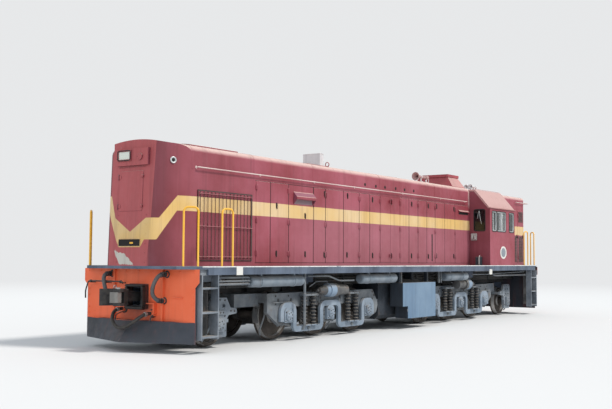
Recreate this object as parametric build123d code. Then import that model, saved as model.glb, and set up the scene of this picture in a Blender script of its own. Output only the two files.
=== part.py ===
from build123d import *
from math import radians, tan
import os

os.makedirs("parts", exist_ok=True)

# Narrow gauge diesel-electric locomotive of the hood type, in mm.
# Frame: X runs forward to the cab end, Y to the left, Z up from the lowest point of the wheel flanges.
# Running gear and end fittings are built at the long hood's end and turned round for the cab end.

# Deck and underframe
DECK_TOP = 1438
DECK_THICK = 50
DECK_LOW = DECK_TOP - DECK_THICK
DECK_HALF_WIDTH = 1375
DECK_HALF_LENGTH = 7695
DECK_CORNER = 300
SILL_LOW = DECK_TOP - 143
SILL_THICK = 40
CENTRE_SILL_Y = (300, 400)
CENTRE_SILL_LOW = 1110
RIB_X = (900, 2300, 5300, 6900)
RIB_HALF = 30
BOLSTER_HALF = (260, 880)
JACK_PAD_Y = (700, 860)
JACK_PAD_LOW = 1080
JACK_PAD_HALF = 120
KINGPIN_RADIUS = 80
KINGPIN_LOW = 780
CENTRE_PLATE_RADIUS = 250
CENTRE_PLATE_LOW = 1010
DRAFT_X = (-7445, -6960)
DRAFT_HALF = 210
DRAFT_Z = (770, 1066)
DRAFT_WALL = 30

# Headstock plate and pilot
PLATE_X = 7475
PLATE_THICK = 30
PLATE_STEP_Z = (1168, 1083)
PLATE_LOW_HALF = 1290
PILOT_TOP = 518
PILOT_LOW = 168
PILOT_NOSE = (-7650, -7930)
PILOT_WALL = 24
STRIKER_HALF = (170, 160)
STRIKER_RIM = 45
SOCKET_DEPTH = 60
SOCKET_X = -PLATE_X - SOCKET_DEPTH
JUMPER_ENDS = ((660, 1300), (600, 860))
HOSE_ENDS = ((340, 700), (-340, 640))

# Long hood: straight sides with a tapered end whose middle is flush with the deck's end
HOOD_HALF = 745
HOOD_WALL = 40
HOOD_EAVE = 3418
HOOD_TOP = 3600
HOOD_FACE_X = -7695
HOOD_FACE_HALF = 360
HOOD_SHOULDER = (-7475, 580)
HOOD_STRAIGHT_X = -7020
HOOD_RAKE = 75
GRILLE_X = (-6850, -5340)
GRILLE_Z = (1550, 2750)
GRILLE_RIM = 50
SLAT_PITCH = 72
INTAKE_X = (-4020, -3340)
INTAKE_Z = (2650, 2920)
INTAKE_REACH = 85

# Roof fittings
FAN_X = -6050
FAN_Z = 3440
FAN_OPENING = 450
FAN_RADIUS = 420
FAN_SHAFT = 20
SHUTTER_X = (-6700, -5400)
SHUTTER_HALF = 480
SHUTTER_Z = (HOOD_TOP - 60, HOOD_TOP + 90)
EXHAUST_X = (-2900, -2200)
EXHAUST_HALF = 250
EXHAUST_TOP = 3870
EXHAUST_WALL = 60
HATCH_X = (3340, 4100)
HATCH_LOW_HALF = 620
HATCH_HIGH_HALF = 430
HATCH_SHOULDER_Z = 3810
HATCH_TOP = 3880

LENS_RISE = 30
HOOD_HORN_AT = (-350, 3705)
HOOD_HORN_X = (1500, 1850, 2370, 2520)
HOOD_HORN_RADII = (112, 52, 30, 46)

# Cab and short hood
CAB_X = (4125, 5825)
CAB_HALF = 1345
CAB_WALL = 50
CAB_EAVE = 2983
CAB_SHOULDER = (1262, 3088)
CAB_RIDGE = (914, 3495)
CAB_TOP = 3520
CAB_FLOOR = DECK_TOP + 40
WINDOW_Z = (2358, 2908)
SIDE_WINDOWS = ((4265, 4565), (4595, 5185), (5425, 5755))
END_WINDOW_Z = (2363, 2948)
REAR_WALL_WINDOW_Y = (-1205, -880)
FRONT_WALL_WINDOW_Y = (935, 1235)
WINDOW_CORNER = 45
GLASS = 8
REAR_WALL_DOOR_Y = (805, 1235)
FRONT_WALL_DOOR_Y = (925, 1275)
CAB_DOOR_Z = (1484, 2955)
CAB_DOOR_THICK = 40
SHORT_HALF = 900
SHORT_X = (5825, 7660)
SHORT_EAVE = 3360
SHORT_TOP = 3500
SHORT_CORNER = 80

# Doors in the hood's sides
DOOR_PAIR = (-650, 260)
DOOR_Z = (1500, 3040)
DOOR_GAP = 6
DOOR_FREE_GAP = 10
DOOR_HINGE = 14
HINGE_OUT = 16
HINGE_IN = 12

# Tanks, boxes, steps and rails
TANK_HALF = 1000
TANK_Z = (240, 1110)
BATTERY_X = (-620, 960)
BATTERY_Y = (-1330, -1000)
BATTERY_Z = (245, 1050)
RESERVOIR_RADIUS = 105
RESERVOIR_AT = (-1180, 1165)
RESERVOIR_X = ((-5960, -4350), (-2240, -760), (1660, 2940))
STEP_X = (-7405, -6975)
STEP_Y = (-1375, -1215)
STEP_BAR = 25
STEP_TREADS = (1060, 660, 260)
STEP_LOW = 228
LOOP_HIGH = 975
LOOP_RADIUS = 17
LOOP_BEND = 75
RAIL_Z = 3150
RAIL_OUT = 55
RAIL_X = (-6900, 3850)
RAIL_POSTS = (-6890, -5100, -3300, -1750, 420, 2400, 3840)

# Wheels and axles
RAIL_TOP = 28
GAUGE_BACK = 498.5
WHEEL_WIDTH = 127
DRIVER_RADIUS = 457
PONY_RADIUS = 381
DRIVER_X = (-4500, -3050, -1600)
DRIVER_Z = RAIL_TOP + DRIVER_RADIUS
PONY_X = -6375
PONY_Z = RAIL_TOP + PONY_RADIUS
AXLE_RADIUS = 80
JOURNAL_RADIUS = 65
JOURNAL_END = 1000
PONY_JOURNAL_END = 900
RUNNING_FIT = 0.05

# Bogies
PIVOT_X = -3775
FRAME_Y = (850, 930)
FRAME_TOP = 920
FRAME_LOW = 650
FRAME_NOSE = -5090
FRAME_TAIL = ((-1130, 420), (-1065, 560), (-1075, 640), (-1290, 920))
JAW_HALF = 125
JAW_LEG = 105
JAW_LOW = 320
AXLEBOX_SHOULDER = 78
FRAME_CORNER = 30
TRANSOM_LOW = 740
TRANSOMS = ((-5060, 60), (PIVOT_X, 190), (-2325, 120))
TAIL_STAY = ((-1108, -1068), (560, 690))
BOLSTER_TOP = CENTRE_PLATE_LOW - 0.5
NOSE_X = (-5800, -5060)
NOSE_Y = (640, 720)
PONY_PIVOT_X = -5450
PONY_PIN_RADIUS = 40
EQUALISER_Y = 972.5
EQUALISER_BAR = (110, 55)
EQUALISER_HIGH = 685
EQUALISER_LOW = 220
EQUALISER_TIP = 380
EQUALISER_REACH = (200, 330, 200)
EQUALISER_BENDS = (130, 75)
SEAT_Z = (275, 292)
SPRING_X = (-3840, -2260)
SPRING_Y = 1000
SPRING_TOP = 850
SPRING_PAD = (235, 1072)
SPRING_RADIUS = 66
SPRING_WIRE = 17
SPRING_OFFSETS = (-150, 150)
SPRING_TURNS = 8
CYLINDER_AT = (-1072, 950)
CYLINDER_CONE = ((-3590, 50), (-3285, 125))
CYLINDER_DRUM = ((-3300, -3010), 138)
CYLINDER_BODY = ((-3020, -2630), 105)
SHOE_Y = (530, 610)
MOTOR_REACH = 400
MOTOR_RADIUS = 230

# Couplers
COUPLER_Z = 918
COUPLER_PIVOT_X = -7130
COUPLER_FACE_X = -8160
COUPLER_PIN_RADIUS = 30
SHANK_HALF = (65, 75)
HEAD_HALF = 140
HEAD_SLOT_HALF = 92
KNUCKLE_HALF = 87
KNUCKLE_PIN = (-90, 135)
KNUCKLE_PIN_RADIUS = 20

# Jumper cables and brake hose, held at both ends by the headstock's sockets
JUMPER_RADIUS = 16
HOSE_RADIUS = 30
JUMPER_POINTS = [
    (SOCKET_X, -660, 1300), (-7598, -660, 1300), (-7660, -652, 1278), (-7703, -634, 1228),
    (-7722, -606, 1162), (-7727, -578, 1092), (-7722, -560, 1020), (-7704, -562, 952),
    (-7662, -580, 895), (-7600, -600, 860), (SOCKET_X, -600, 860),
]
HOSE_POINTS = [
    (SOCKET_X, 340, 700), (-7640, 340, 700), (-7742, 328, 655), (-7805, 275, 565),
    (-7828, 165, 480), (-7832, 30, 445), (-7828, -105, 458), (-7805, -225, 515),
    (-7742, -318, 595), (-7640, -340, 640), (SOCKET_X, -340, 640),
]


# Shapes shared by all pieces

def block(x, y, z):
    """A box between two values on each axis."""
    spans = [sorted(pair) for pair in (x, y, z)]
    sizes = [high - low for low, high in spans]
    middle = [(high + low) / 2 for low, high in spans]
    return Pos(*middle) * Box(*sizes)


def prism_y(outline, y, corner=0):
    """An outline of X and Z points, its corners rounded, carried from one Y to another."""
    face = make_face(Polyline(*[(a, y[0], b) for a, b in outline], close=True))
    if corner:
        face = fillet(face.vertices(), corner)
    return extrude(face, amount=y[1] - y[0], dir=(0, 1, 0))


def prism_x(outline, x):
    """An outline of Y and Z points, filled and carried from one X to another."""
    face = make_face(Polyline(*[(x[0], a, b) for a, b in outline], close=True))
    return extrude(face, amount=x[1] - x[0], dir=(1, 0, 0))


def prism_z(outline, z, corner=0):
    """An outline of X and Y points, its corners rounded, carried from one Z to another."""
    face = make_face(Polyline(*[(a, b, z[0]) for a, b in outline], close=True))
    if corner:
        face = fillet(face.vertices(), corner)
    return extrude(face, amount=z[1] - z[0], dir=(0, 0, 1))


def rod(start, end, radius):
    """A round bar between two points."""
    run = Vector(*end) - Vector(*start)
    plane = Plane(origin=start, z_dir=run)
    return extrude(plane * Circle(radius), run.length)


def pipe(points, bends, radius):
    """A round bar along straight runs joined by tangent arcs."""
    path = FilletPolyline(*points, radius=bends)
    start = Plane(origin=path @ 0, z_dir=path % 0)
    return sweep(start * Circle(radius), path=path)


def left_right(shape):
    """A shape and its mirror image across the middle plane."""
    return [shape, mirror(shape, Plane.XZ)]


def four(shape):
    """A shape at all four corners of the locomotive."""
    return [copy for side in left_right(shape) for copy in (side, mirror(side, Plane.YZ))]


def joined(pieces):
    """Overlapping or touching pieces as one shape."""
    whole = pieces[0]
    for piece in pieces[1:]:
        whole = whole + piece
    return whole


def solids_of(thing):
    if isinstance(thing, (list, tuple)):
        return [solid for item in thing for solid in solids_of(item)]
    return list(thing.solids())


def save(name, *things):
    export_step(Compound(children=solids_of(things)), f"parts/{name}.step")


# Underframe

def deck():
    end = DECK_HALF_LENGTH
    half = DECK_HALF_WIDTH
    cut = DECK_CORNER
    outline = [
        (-end, -half + cut), (-end + cut, -half), (end - cut, -half), (end, -half + cut),
        (end, half - cut), (end - cut, half), (-end + cut, half), (-end, half - cut),
    ]
    return prism_z(outline, (DECK_LOW, DECK_TOP))


def body_bolster(end):
    """The cross beam over a bogie, with its centre plate, king pin and jacking pads."""
    x = -end * PIVOT_X
    reach, half = BOLSTER_HALF
    pieces = [
        block((x - reach, x + reach), (-half, half), (CENTRE_SILL_LOW, DECK_LOW)),
        rod((x, 0, CENTRE_PLATE_LOW), (x, 0, CENTRE_SILL_LOW + 10), CENTRE_PLATE_RADIUS),
        rod((x, 0, KINGPIN_LOW), (x, 0, CENTRE_SILL_LOW), KINGPIN_RADIUS),
    ]
    pad = block((x - JACK_PAD_HALF, x + JACK_PAD_HALF), JACK_PAD_Y, (JACK_PAD_LOW, CENTRE_SILL_LOW + 10))
    return pieces + left_right(pad)


def draft_pocket(end):
    """The box behind a headstock that holds the coupler's butt on its pin."""
    near, far = [-end * value for value in DRAFT_X]
    low, high = DRAFT_Z
    wide = DRAFT_HALF + DRAFT_WALL
    sill = CENTRE_SILL_Y[0] + 5
    pin_x = -end * COUPLER_PIVOT_X
    cheek = block((near, far), (DRAFT_HALF, wide), (low, CENTRE_SILL_LOW + 10))
    return left_right(cheek) + [
        block((near, far), (-wide, wide), (low - DRAFT_WALL, low)),
        block((near, far), (-wide, wide), (high, high + DRAFT_WALL)),
        block((near, far), (-sill, sill), (CENTRE_SILL_LOW, DECK_LOW)),
        rod((pin_x, 0, low - DRAFT_WALL), (pin_x, 0, high + DRAFT_WALL), COUPLER_PIN_RADIUS),
        rod((pin_x, 0, low - DRAFT_WALL), (pin_x, 0, COUPLER_Z - SHANK_HALF[1] - 0.5), 75),
    ]


def underframe():
    pieces = [deck()]
    sill_x = PLATE_X - PLATE_THICK
    outer = (DECK_HALF_WIDTH - SILL_THICK, DECK_HALF_WIDTH)
    pieces += left_right(block((-sill_x + 200, sill_x - 200), outer, (SILL_LOW, DECK_LOW)))
    pieces += left_right(block((-sill_x, sill_x), CENTRE_SILL_Y, (CENTRE_SILL_LOW, DECK_LOW)))
    for x in [sign * x for x in RIB_X for sign in (-1, 1)]:
        across = DECK_HALF_WIDTH - SILL_THICK
        pieces.append(block((x - RIB_HALF, x + RIB_HALF), (-across, across), (SILL_LOW, DECK_LOW)))
    for end in (-1, 1):
        pieces += body_bolster(end) + draft_pocket(end)
    return joined(pieces)


# Headstocks

def headstock():
    """A wide plate with stepped-in lower sides, ribs, striker, sockets and a V-shaped pilot below."""
    half = DECK_HALF_WIDTH
    low_half = PLATE_LOW_HALF
    face = -PLATE_X
    side = [(half, DECK_LOW), (half, PLATE_STEP_Z[0]), (low_half, PLATE_STEP_Z[1]), (low_half, PILOT_LOW)]
    plate = prism_x(side + [(-y, z) for y, z in reversed(side)], (face, face + PLATE_THICK))
    wide, tall = STRIKER_HALF
    rim = STRIKER_RIM
    mouth = block((face - 200, face + 100), (-wide, wide), (COUPLER_Z - tall, COUPLER_Z + tall))
    frame_z = (COUPLER_Z - tall - rim, COUPLER_Z + tall + rim)
    pieces = [plate, block((face - 60, face), (-wide - rim, wide + rim), frame_z)]
    pieces += left_right(block((face - 40, face), (560, 600), (PILOT_TOP, DECK_LOW)))
    for y, z in JUMPER_ENDS:
        pieces += left_right(rod((SOCKET_X, y, z), (face, y, z), 42))
    for y, z in HOSE_ENDS:
        pieces.append(rod((SOCKET_X, y, z), (face, y, z), 50))
    bands = []
    for z, nose in ((PILOT_TOP, PILOT_NOSE[0]), (PILOT_LOW, PILOT_NOSE[1])):
        band = [
            (face, low_half), (nose, 0), (face, -low_half),
            (face, -low_half + PILOT_WALL * 3), (nose + PILOT_WALL * 2, 0), (face, low_half - PILOT_WALL * 3),
        ]
        bands.append(make_face(Polyline(*[(x, y, z) for x, y in band], close=True)))
    pieces.append(loft(bands, ruled=True))
    return joined(pieces) - mouth


# Hoods

def hood_plan(inset):
    """The long hood's plan: flat middle, rounded shoulders and a taper out to the straight sides."""
    face = HOOD_FACE_X + inset
    half = HOOD_HALF - inset
    flat = HOOD_FACE_HALF - inset * 0.4
    x = HOOD_SHOULDER[0] + inset
    y = HOOD_SHOULDER[1] - inset * 0.8
    end = CAB_X[0]
    right = Polyline((end, 0), (end, -half), (HOOD_STRAIGHT_X, -half), (x, -y))
    bend = ThreePointArc((x, -y), (x - 150, -y + 75), (face, -flat))
    front = Polyline((face, -flat), (face, flat))
    bend_left = ThreePointArc((face, flat), (x - 150, y - 75), (x, y))
    left = Polyline((x, y), (HOOD_STRAIGHT_X, half), (end, half), (end, 0))
    return make_face(right + bend + front + bend_left + left)


def roof_section(half, low, eave, top, x):
    """A hood's cross section: upright sides, rounded eaves and a slightly arched top."""
    a = x[0]
    side = Polyline((a, -half, eave), (a, -half, low), (a, half, low), (a, half, eave))
    left = ThreePointArc((a, half, eave), (a, half - 35, eave + 75), (a, half - 130, eave + 115))
    over = ThreePointArc((a, half - 130, eave + 115), (a, 0, top), (a, -half + 130, eave + 115))
    right = ThreePointArc((a, -half + 130, eave + 115), (a, -half + 35, eave + 75), (a, -half, eave))
    return extrude(make_face(side + left + over + right), amount=x[1] - a, dir=(1, 0, 0))


def hood_solid(inset, low):
    """The long hood's outer form, or the same form drawn in, with its end face leaning back."""
    body = extrude(hood_plan(inset), amount=4000)
    span = (HOOD_FACE_X - 10, CAB_X[0])
    section = roof_section(HOOD_HALF - inset, low, HOOD_EAVE - inset, HOOD_TOP - inset, span)
    lean = HOOD_RAKE / (HOOD_TOP - DECK_TOP)
    front = HOOD_FACE_X + inset
    foot = front + lean * (low - DECK_TOP)
    head = front + lean * (4000 - DECK_TOP)
    wedge = prism_y([(front - 100, low - 1), (foot, low - 1), (head, 4000), (front - 100, 4000)], (-900, 900))
    return (body & section) - wedge


def intake_visor():
    """A sloping visor over an air intake on the right side, closed at its ends and open below."""
    low, high = INTAKE_Z
    out = HOOD_HALF + INTAKE_REACH
    inner = -HOOD_HALF + 5
    section = [(inner, high), (-out, high - 110), (-out, high - 150), (inner, low)]
    hollow = [(inner + 5, high - 14), (-out + 12, high - 122), (-out + 12, low - 5), (inner + 5, low - 5)]
    within = (INTAKE_X[0] + 12, INTAKE_X[1] - 12)
    return prism_x(section, INTAKE_X) - prism_x(hollow, within)


def long_hood():
    hood = hood_solid(0, DECK_TOP) - hood_solid(HOOD_WALL, DECK_TOP - 10)
    mouth = (EXHAUST_X[0] + EXHAUST_WALL, EXHAUST_X[1] - EXHAUST_WALL)
    across = EXHAUST_HALF - EXHAUST_WALL
    cuts = [
        block(GRILLE_X, (-900, 900), GRILLE_Z),
        block(DOOR_PAIR, (-900, 900), DOOR_Z),
        rod((FAN_X, 0, 3300), (FAN_X, 0, 3800), FAN_OPENING),
        block(mouth, (-across, across), (3400, 3900)),
    ]
    for cut in cuts:
        hood = hood - cut
    inner = HOOD_HALF - HOOD_WALL
    jambs = []
    for x in (DOOR_PAIR[0] - 40, DOOR_PAIR[1]):
        jambs += left_right(block((x, x + 40), (inner - 30, inner), (DECK_TOP, DOOR_Z[1] + 60)))
    return joined([hood] + jambs + left_right(intake_visor()))


def side_grille():
    """A frame with a middle bar, uprights and louvre slats in the hood's left side."""
    out = HOOD_HALF + 15
    inner = HOOD_HALF - HOOD_WALL
    x = (GRILLE_X[0] + GRILLE_RIM, GRILLE_X[1] - GRILLE_RIM)
    z = (GRILLE_Z[0] + GRILLE_RIM, GRILLE_Z[1] - GRILLE_RIM)
    pieces = [block(GRILLE_X, (inner, out), GRILLE_Z) - block(x, (600, 900), z)]
    pieces.append(block(x, (inner, out), (2130, 2170)))
    for third in (1, 2):
        upright = x[0] + third * (x[1] - x[0]) / 3
        pieces.append(block((upright - 15, upright + 15), (inner, HOOD_HALF - 10), z))
    outer_y = HOOD_HALF - 5
    inner_y = HOOD_HALF - 35
    for number in range(int((z[1] - z[0] - 55) // SLAT_PITCH) + 1):
        at = z[0] + 35 + number * SLAT_PITCH
        section = [(outer_y, at - 12), (outer_y, at - 4), (inner_y, at + 20), (inner_y, at + 12)]
        pieces.append(prism_x(section, x))
    return joined(pieces)


def roof_shutters(hood):
    """A raised frame over the fan with cross slats, and the spider that holds the fan's shaft."""
    low, high = SHUTTER_Z
    half = SHUTTER_HALF
    x = SHUTTER_X
    hollow = block((x[0] + 40, x[1] - 40), (-half + 40, half - 40), (low - 50, high + 50))
    pieces = [block(x, (-half, half), (low, high)) - hollow]
    for at in range(x[0] + 90, x[1] - 60, 70):
        pieces.append(block((at - 5, at + 5), (-half + 30, half - 30), (high - 50, high - 5)))
    pieces.append(block((x[0] + 20, x[1] - 20), (-20, 20), (low, high - 45)))
    pieces.append(rod((FAN_X, 0, 3500), (FAN_X, 0, high - 50), 50))
    bore = rod((FAN_X, 0, 3400), (FAN_X, 0, 3570), FAN_SHAFT + RUNNING_FIT)
    return joined(pieces) - hood - bore


def radiator_fan():
    hub = rod((FAN_X, 0, FAN_Z - 40), (FAN_X, 0, FAN_Z + 40), 90)
    shaft = rod((FAN_X, 0, FAN_Z), (FAN_X, 0, 3565), FAN_SHAFT)
    blade = Rot(28, 0, 0) * Box(FAN_RADIUS - 60, 170, 8, align=(Align.MIN, Align.CENTER, Align.CENTER))
    centre = Pos(FAN_X, 0, FAN_Z)
    blades = [centre * Rot(0, 0, turn * 60) * Pos(60, 0, 0) * blade for turn in range(6)]
    return joined([hub, shaft] + blades)


def exhaust_stack():
    wall = EXHAUST_WALL
    half = EXHAUST_HALF
    outer = block(EXHAUST_X, (-half, half), (HOOD_TOP - 40, EXHAUST_TOP))
    mouth = (EXHAUST_X[0] + wall, EXHAUST_X[1] - wall)
    inner = block(mouth, (-half + wall, half - wall), (HOOD_TOP - 100, EXHAUST_TOP + 50))
    return outer - inner - hood_solid(0, DECK_TOP)


def roof_hatch():
    """The box on the roof beside the cab, with leaning sides and a flat lid."""
    low, high = HATCH_LOW_HALF, HATCH_HIGH_HALF
    right = [(low, 3400), (low, 3545), (high, HATCH_SHOULDER_Z)]
    length = [
        (HATCH_X[0], 3400), (HATCH_X[0], 3545), (HATCH_X[0] + 100, HATCH_SHOULDER_Z),
        (HATCH_X[1] - 40, HATCH_SHOULDER_Z), (HATCH_X[1], 3545), (HATCH_X[1], 3400),
    ]
    body = prism_x(right + [(-y, z) for y, z in reversed(right)], HATCH_X) & prism_y(length, (-low, low))
    lid = block((HATCH_X[0] + 70, HATCH_X[1] - 20), (-high - 20, high + 20), (HATCH_SHOULDER_Z, HATCH_TOP))
    return (body + lid) - hood_solid(0, DECK_TOP)


def short_hood_form(inset, low):
    x = (SHORT_X[0] - (10 if inset else 0), SHORT_X[1] - inset)
    return roof_section(SHORT_HALF - inset, low, SHORT_EAVE - inset, SHORT_TOP - inset, x)


def short_hood():
    outer = short_hood_form(0, DECK_TOP)
    corners = outer.edges().filter_by(Axis.Z).group_by(Axis.X)[-1]
    return fillet(corners, SHORT_CORNER) - short_hood_form(HOOD_WALL, DECK_TOP - 10)


# Cab

def cab_prism(inset, x):
    """The cab's cross section, upright sides under leaning roof edges, carried along X."""
    half = [
        (CAB_HALF - inset, DECK_TOP), (CAB_HALF - inset, CAB_EAVE),
        (CAB_SHOULDER[0] - inset * 0.8, CAB_SHOULDER[1] - inset * 0.6),
        (CAB_RIDGE[0] - inset * 0.5, CAB_RIDGE[1] - inset), (0, CAB_TOP - inset),
    ]
    return prism_x(half + [(-y, z) for y, z in reversed(half[:-1])], x)


def window(axis, across, z, at):
    """A window opening with rounded corners through a wall across Y or X."""
    middle = ((across[0] + across[1]) / 2, (z[0] + z[1]) / 2)
    sketch = RectangleRounded(across[1] - across[0], z[1] - z[0], WINDOW_CORNER)
    if axis == "y":
        plane = Plane(origin=(middle[0], at[0], middle[1]), x_dir=(1, 0, 0), z_dir=(0, 1, 0))
    else:
        plane = Plane(origin=(at[0], middle[0], middle[1]), x_dir=(0, 1, 0), z_dir=(1, 0, 0))
    return extrude(plane * sketch, amount=at[1] - at[0])


def cab_body():
    rear, front = CAB_X
    walls = cab_prism(CAB_WALL, CAB_X) + block(CAB_X, (-CAB_HALF, CAB_HALF), (DECK_TOP, CAB_EAVE - 5))
    inside = (rear + CAB_WALL, front - CAB_WALL)
    walls = walls - (cab_prism(CAB_WALL, inside) & block(inside, (-2000, 2000), (CAB_FLOOR, 4000)))
    for x in SIDE_WINDOWS:
        walls = walls - window("y", x, WINDOW_Z, (-1500, 1500))
    walls = walls - window("x", REAR_WALL_WINDOW_Y, END_WINDOW_Z, (rear - 50, rear + 100))
    walls = walls - window("x", FRONT_WALL_WINDOW_Y, END_WINDOW_Z, (front - 100, front + 50))
    walls = walls - block((rear - 20, rear + CAB_WALL + 20), REAR_WALL_DOOR_Y, CAB_DOOR_Z)
    low, high = FRONT_WALL_DOOR_Y
    return walls - block((front - CAB_WALL - 20, front + 20), (-high, -low), CAB_DOOR_Z)


def cab_roof():
    """The roof's plates with a rain lip along each side, cut away where the hoods pass under it."""
    over = (CAB_X[0] - 20, CAB_X[1] + 20)
    roof = cab_prism(0, over) - cab_prism(CAB_WALL, (over[0] - 20, over[1] + 20))
    roof = roof & block(over, (-2000, 2000), (CAB_EAVE - 5, 4000))
    for face, away, half in ((CAB_X[0], -30, HOOD_HALF), (CAB_X[1], 30, SHORT_HALF)):
        roof = roof - block((face, face + away), (-half - 2, half + 2), (3000, 4000))
    lip = block(over, (CAB_HALF - 2, CAB_HALF + 22), (CAB_EAVE - 5, CAB_EAVE + 20))
    return joined([roof] + left_right(lip))


def cab_glazing():
    middle = CAB_HALF - CAB_WALL / 2
    panes = []
    for x in SIDE_WINDOWS:
        panes += left_right(window("y", x, WINDOW_Z, (middle - GLASS / 2, middle + GLASS / 2)))
    inset = CAB_WALL / 2
    for x, y in ((CAB_X[0] + inset, REAR_WALL_WINDOW_Y), (CAB_X[1] - inset, FRONT_WALL_WINDOW_Y)):
        panes.append(window("x", y, END_WINDOW_Z, (x - GLASS / 2, x + GLASS / 2)))
    return panes


def cab_door(x_face, outward, y):
    """A cab door with its window and hinges, shut; y runs from the hinge side to the free side."""
    sign = 1 if y[1] > y[0] else -1
    leaf_y = (y[0] + sign * DOOR_GAP, y[1] - sign * DOOR_FREE_GAP)
    leaf_z = (CAB_DOOR_Z[0] + DOOR_GAP, CAB_DOOR_Z[1] - DOOR_GAP)
    leaf = block((x_face, x_face - outward * CAB_DOOR_THICK), leaf_y, leaf_z)
    middle = sorted((y[0] + sign * 90, y[1] - sign * 90))
    glass_z = (2300, 2830)
    opening = window("x", middle, glass_z, (x_face - 100, x_face + 100))
    pane = block((x_face - outward * 16, x_face - outward * 24), middle, glass_z)
    hinge_x = x_face + outward * HINGE_OUT
    hinge_y = y[0] + sign * HINGE_IN
    hinges = []
    for z in (1620, 2700):
        hinges.append(rod((hinge_x, hinge_y, z), (hinge_x, hinge_y, z + 120), DOOR_HINGE))
        hinges.append(block((x_face, hinge_x), (hinge_y, hinge_y + sign * 90), (z + 15, z + 105)))
    lever = block((x_face, x_face + outward * 45), (y[1] - sign * 50, y[1] - sign * 70), (2060, 2180))
    return joined([leaf - opening, pane, lever] + hinges)


def control_stand():
    floor = CAB_FLOOR
    section = [(-640, floor), (-900, floor), (-900, floor + 900), (-640, floor + 1050)]
    top = [(4900, floor + 900), (4700, floor + 900), (4700, floor + 940), (4900, floor + 1000)]
    handle = rod((5000, -700, floor + 1000), (4980, -700, floor + 1160), 14)
    brake = rod((5250, -700, floor + 1000), (5250, -700, floor + 1120), 14)
    return joined([prism_x(section, (4900, 5400)), prism_y(top, (-900, -640)), handle, brake])


def crew_seats():
    floor = CAB_FLOOR
    made = []
    for x, y, back in ((4550, -1000, -1), (4550, 1000, -1), (5450, 1000, 1)):
        stem = rod((x, y, floor), (x, y, floor + 400), 45)
        cushion = block((x - 200, x + 200), (y - 210, y + 210), (floor + 380, floor + 480))
        rest = block((x + back * 200, x + back * 130), (y - 200, y + 200), (floor + 470, floor + 950))
        made.append(joined([stem, cushion, rest]))
    return made


# Hood doors and what stands on the deck

def engine_door(side, hinge_x, free_x):
    """One leaf of a double door in the hood's side, with hinge barrels and two levers."""
    sign = 1 if free_x > hinge_x else -1
    out = side * (HOOD_HALF + 8)
    leaf_x = (hinge_x + sign * DOOR_GAP, free_x - sign * DOOR_FREE_GAP / 2)
    leaf = block(leaf_x, (out, side * (HOOD_HALF - 32)), (DOOR_Z[0] + DOOR_GAP, DOOR_Z[1] - DOOR_GAP))
    at = (hinge_x + sign * HINGE_IN, side * (HOOD_HALF + HINGE_OUT))
    barrels = [rod((*at, z), (*at, z + 110), DOOR_HINGE) for z in (1620, 2240, 2860)]
    lever_x = (free_x - sign * 40, free_x - sign * 60)
    levers = [block(lever_x, (out, out + side * 35), z) for z in ((2880, 2960), (1620, 1700))]
    return joined([leaf] + barrels + levers)


def engine_block():
    """The engine and generator as one plain mass on the deck."""
    low = DECK_TOP
    right = [(420, low), (520, low + 700), (430, low + 1250)]
    engine = prism_x(right + [(-y, z) for y, z in reversed(right)], (-2300, 1300))
    return engine + block((1290, 2700), (-420, 420), (low, low + 1000))


def headlamp(face, outward, middle_z):
    """A housing on a hood's end with a rectangular lamp in a rim and a round one beside it."""
    front = face + outward * 55
    housing = block((face - outward * 60, front), (-370, 370), (middle_z - 145, middle_z + 145))
    lens_z = middle_z + LENS_RISE
    frame = block((front, front + outward * 18), (20, 350), (lens_z - 95, lens_z + 95))
    recess = block((front - outward * 20, front + outward * 40), (50, 320), (lens_z - 68, lens_z + 68))
    lens = block((front - outward * 21, front - outward * 8), (50, 320), (lens_z - 68, lens_z + 68))
    lamp = rod((front - outward * 5, -190, middle_z), (front + outward * 20, -190, middle_z), 62)
    return joined([(housing + frame) - recess, lens, lamp])


def headlamps():
    near = headlamp(HOOD_FACE_X + HOOD_RAKE * 0.85, -1, 3295) - hood_solid(0, DECK_TOP)
    far = Rot(0, 0, 180) * headlamp(-SHORT_X[1], -1, 3135) - short_hood_form(0, DECK_TOP)
    return near, far


def hood_horn():
    """A long trumpet on the hood's roof, its bell to the long end, on two feet."""
    y, z = HOOD_HORN_AT
    mouth, neck, back, tail = HOOD_HORN_X
    bell_radius, neck_radius, throat_radius, tail_radius = HOOD_HORN_RADII
    profile = [(mouth, 0), (mouth, bell_radius), (mouth + 60, bell_radius - 30), (neck, neck_radius)]
    profile += [(back, throat_radius), (back, tail_radius), (tail, tail_radius), (tail, 0)]
    outline = make_face(Polyline(*[(x, y, z + r) for x, r in profile], close=True))
    feet = [block((x - 30, x + 30), (y - 25, y + 25), (3500, z)) for x in (neck + 80, back + 60)]
    return joined([revolve(outline, Axis((0, y, z), (1, 0, 0)), 360)] + feet) - hood_solid(0, DECK_TOP)


def horns():
    """Three trumpets on a bracket on the cab's roof."""
    floor = CAB_TOP - 8
    pieces = [block((4440, 4560), (-620, -380), (floor - 20, floor + 30))]
    for y, reach in ((-580, 430), (-500, 340), (-420, 380)):
        z = floor + 110
        pieces.append(rod((4500, y, floor), (4500, y, z), 14))
        pieces.append(rod((4440, y, z), (4560, y, z), 30))
        bell = Cone(16, 62, reach, align=(Align.CENTER, Align.CENTER, Align.MIN))
        pieces.append(Pos(4560, y, z) * Rot(0, 90, 0) * bell)
    return joined(pieces) - cab_prism(0, CAB_X)


# Below and beside the deck

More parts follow.
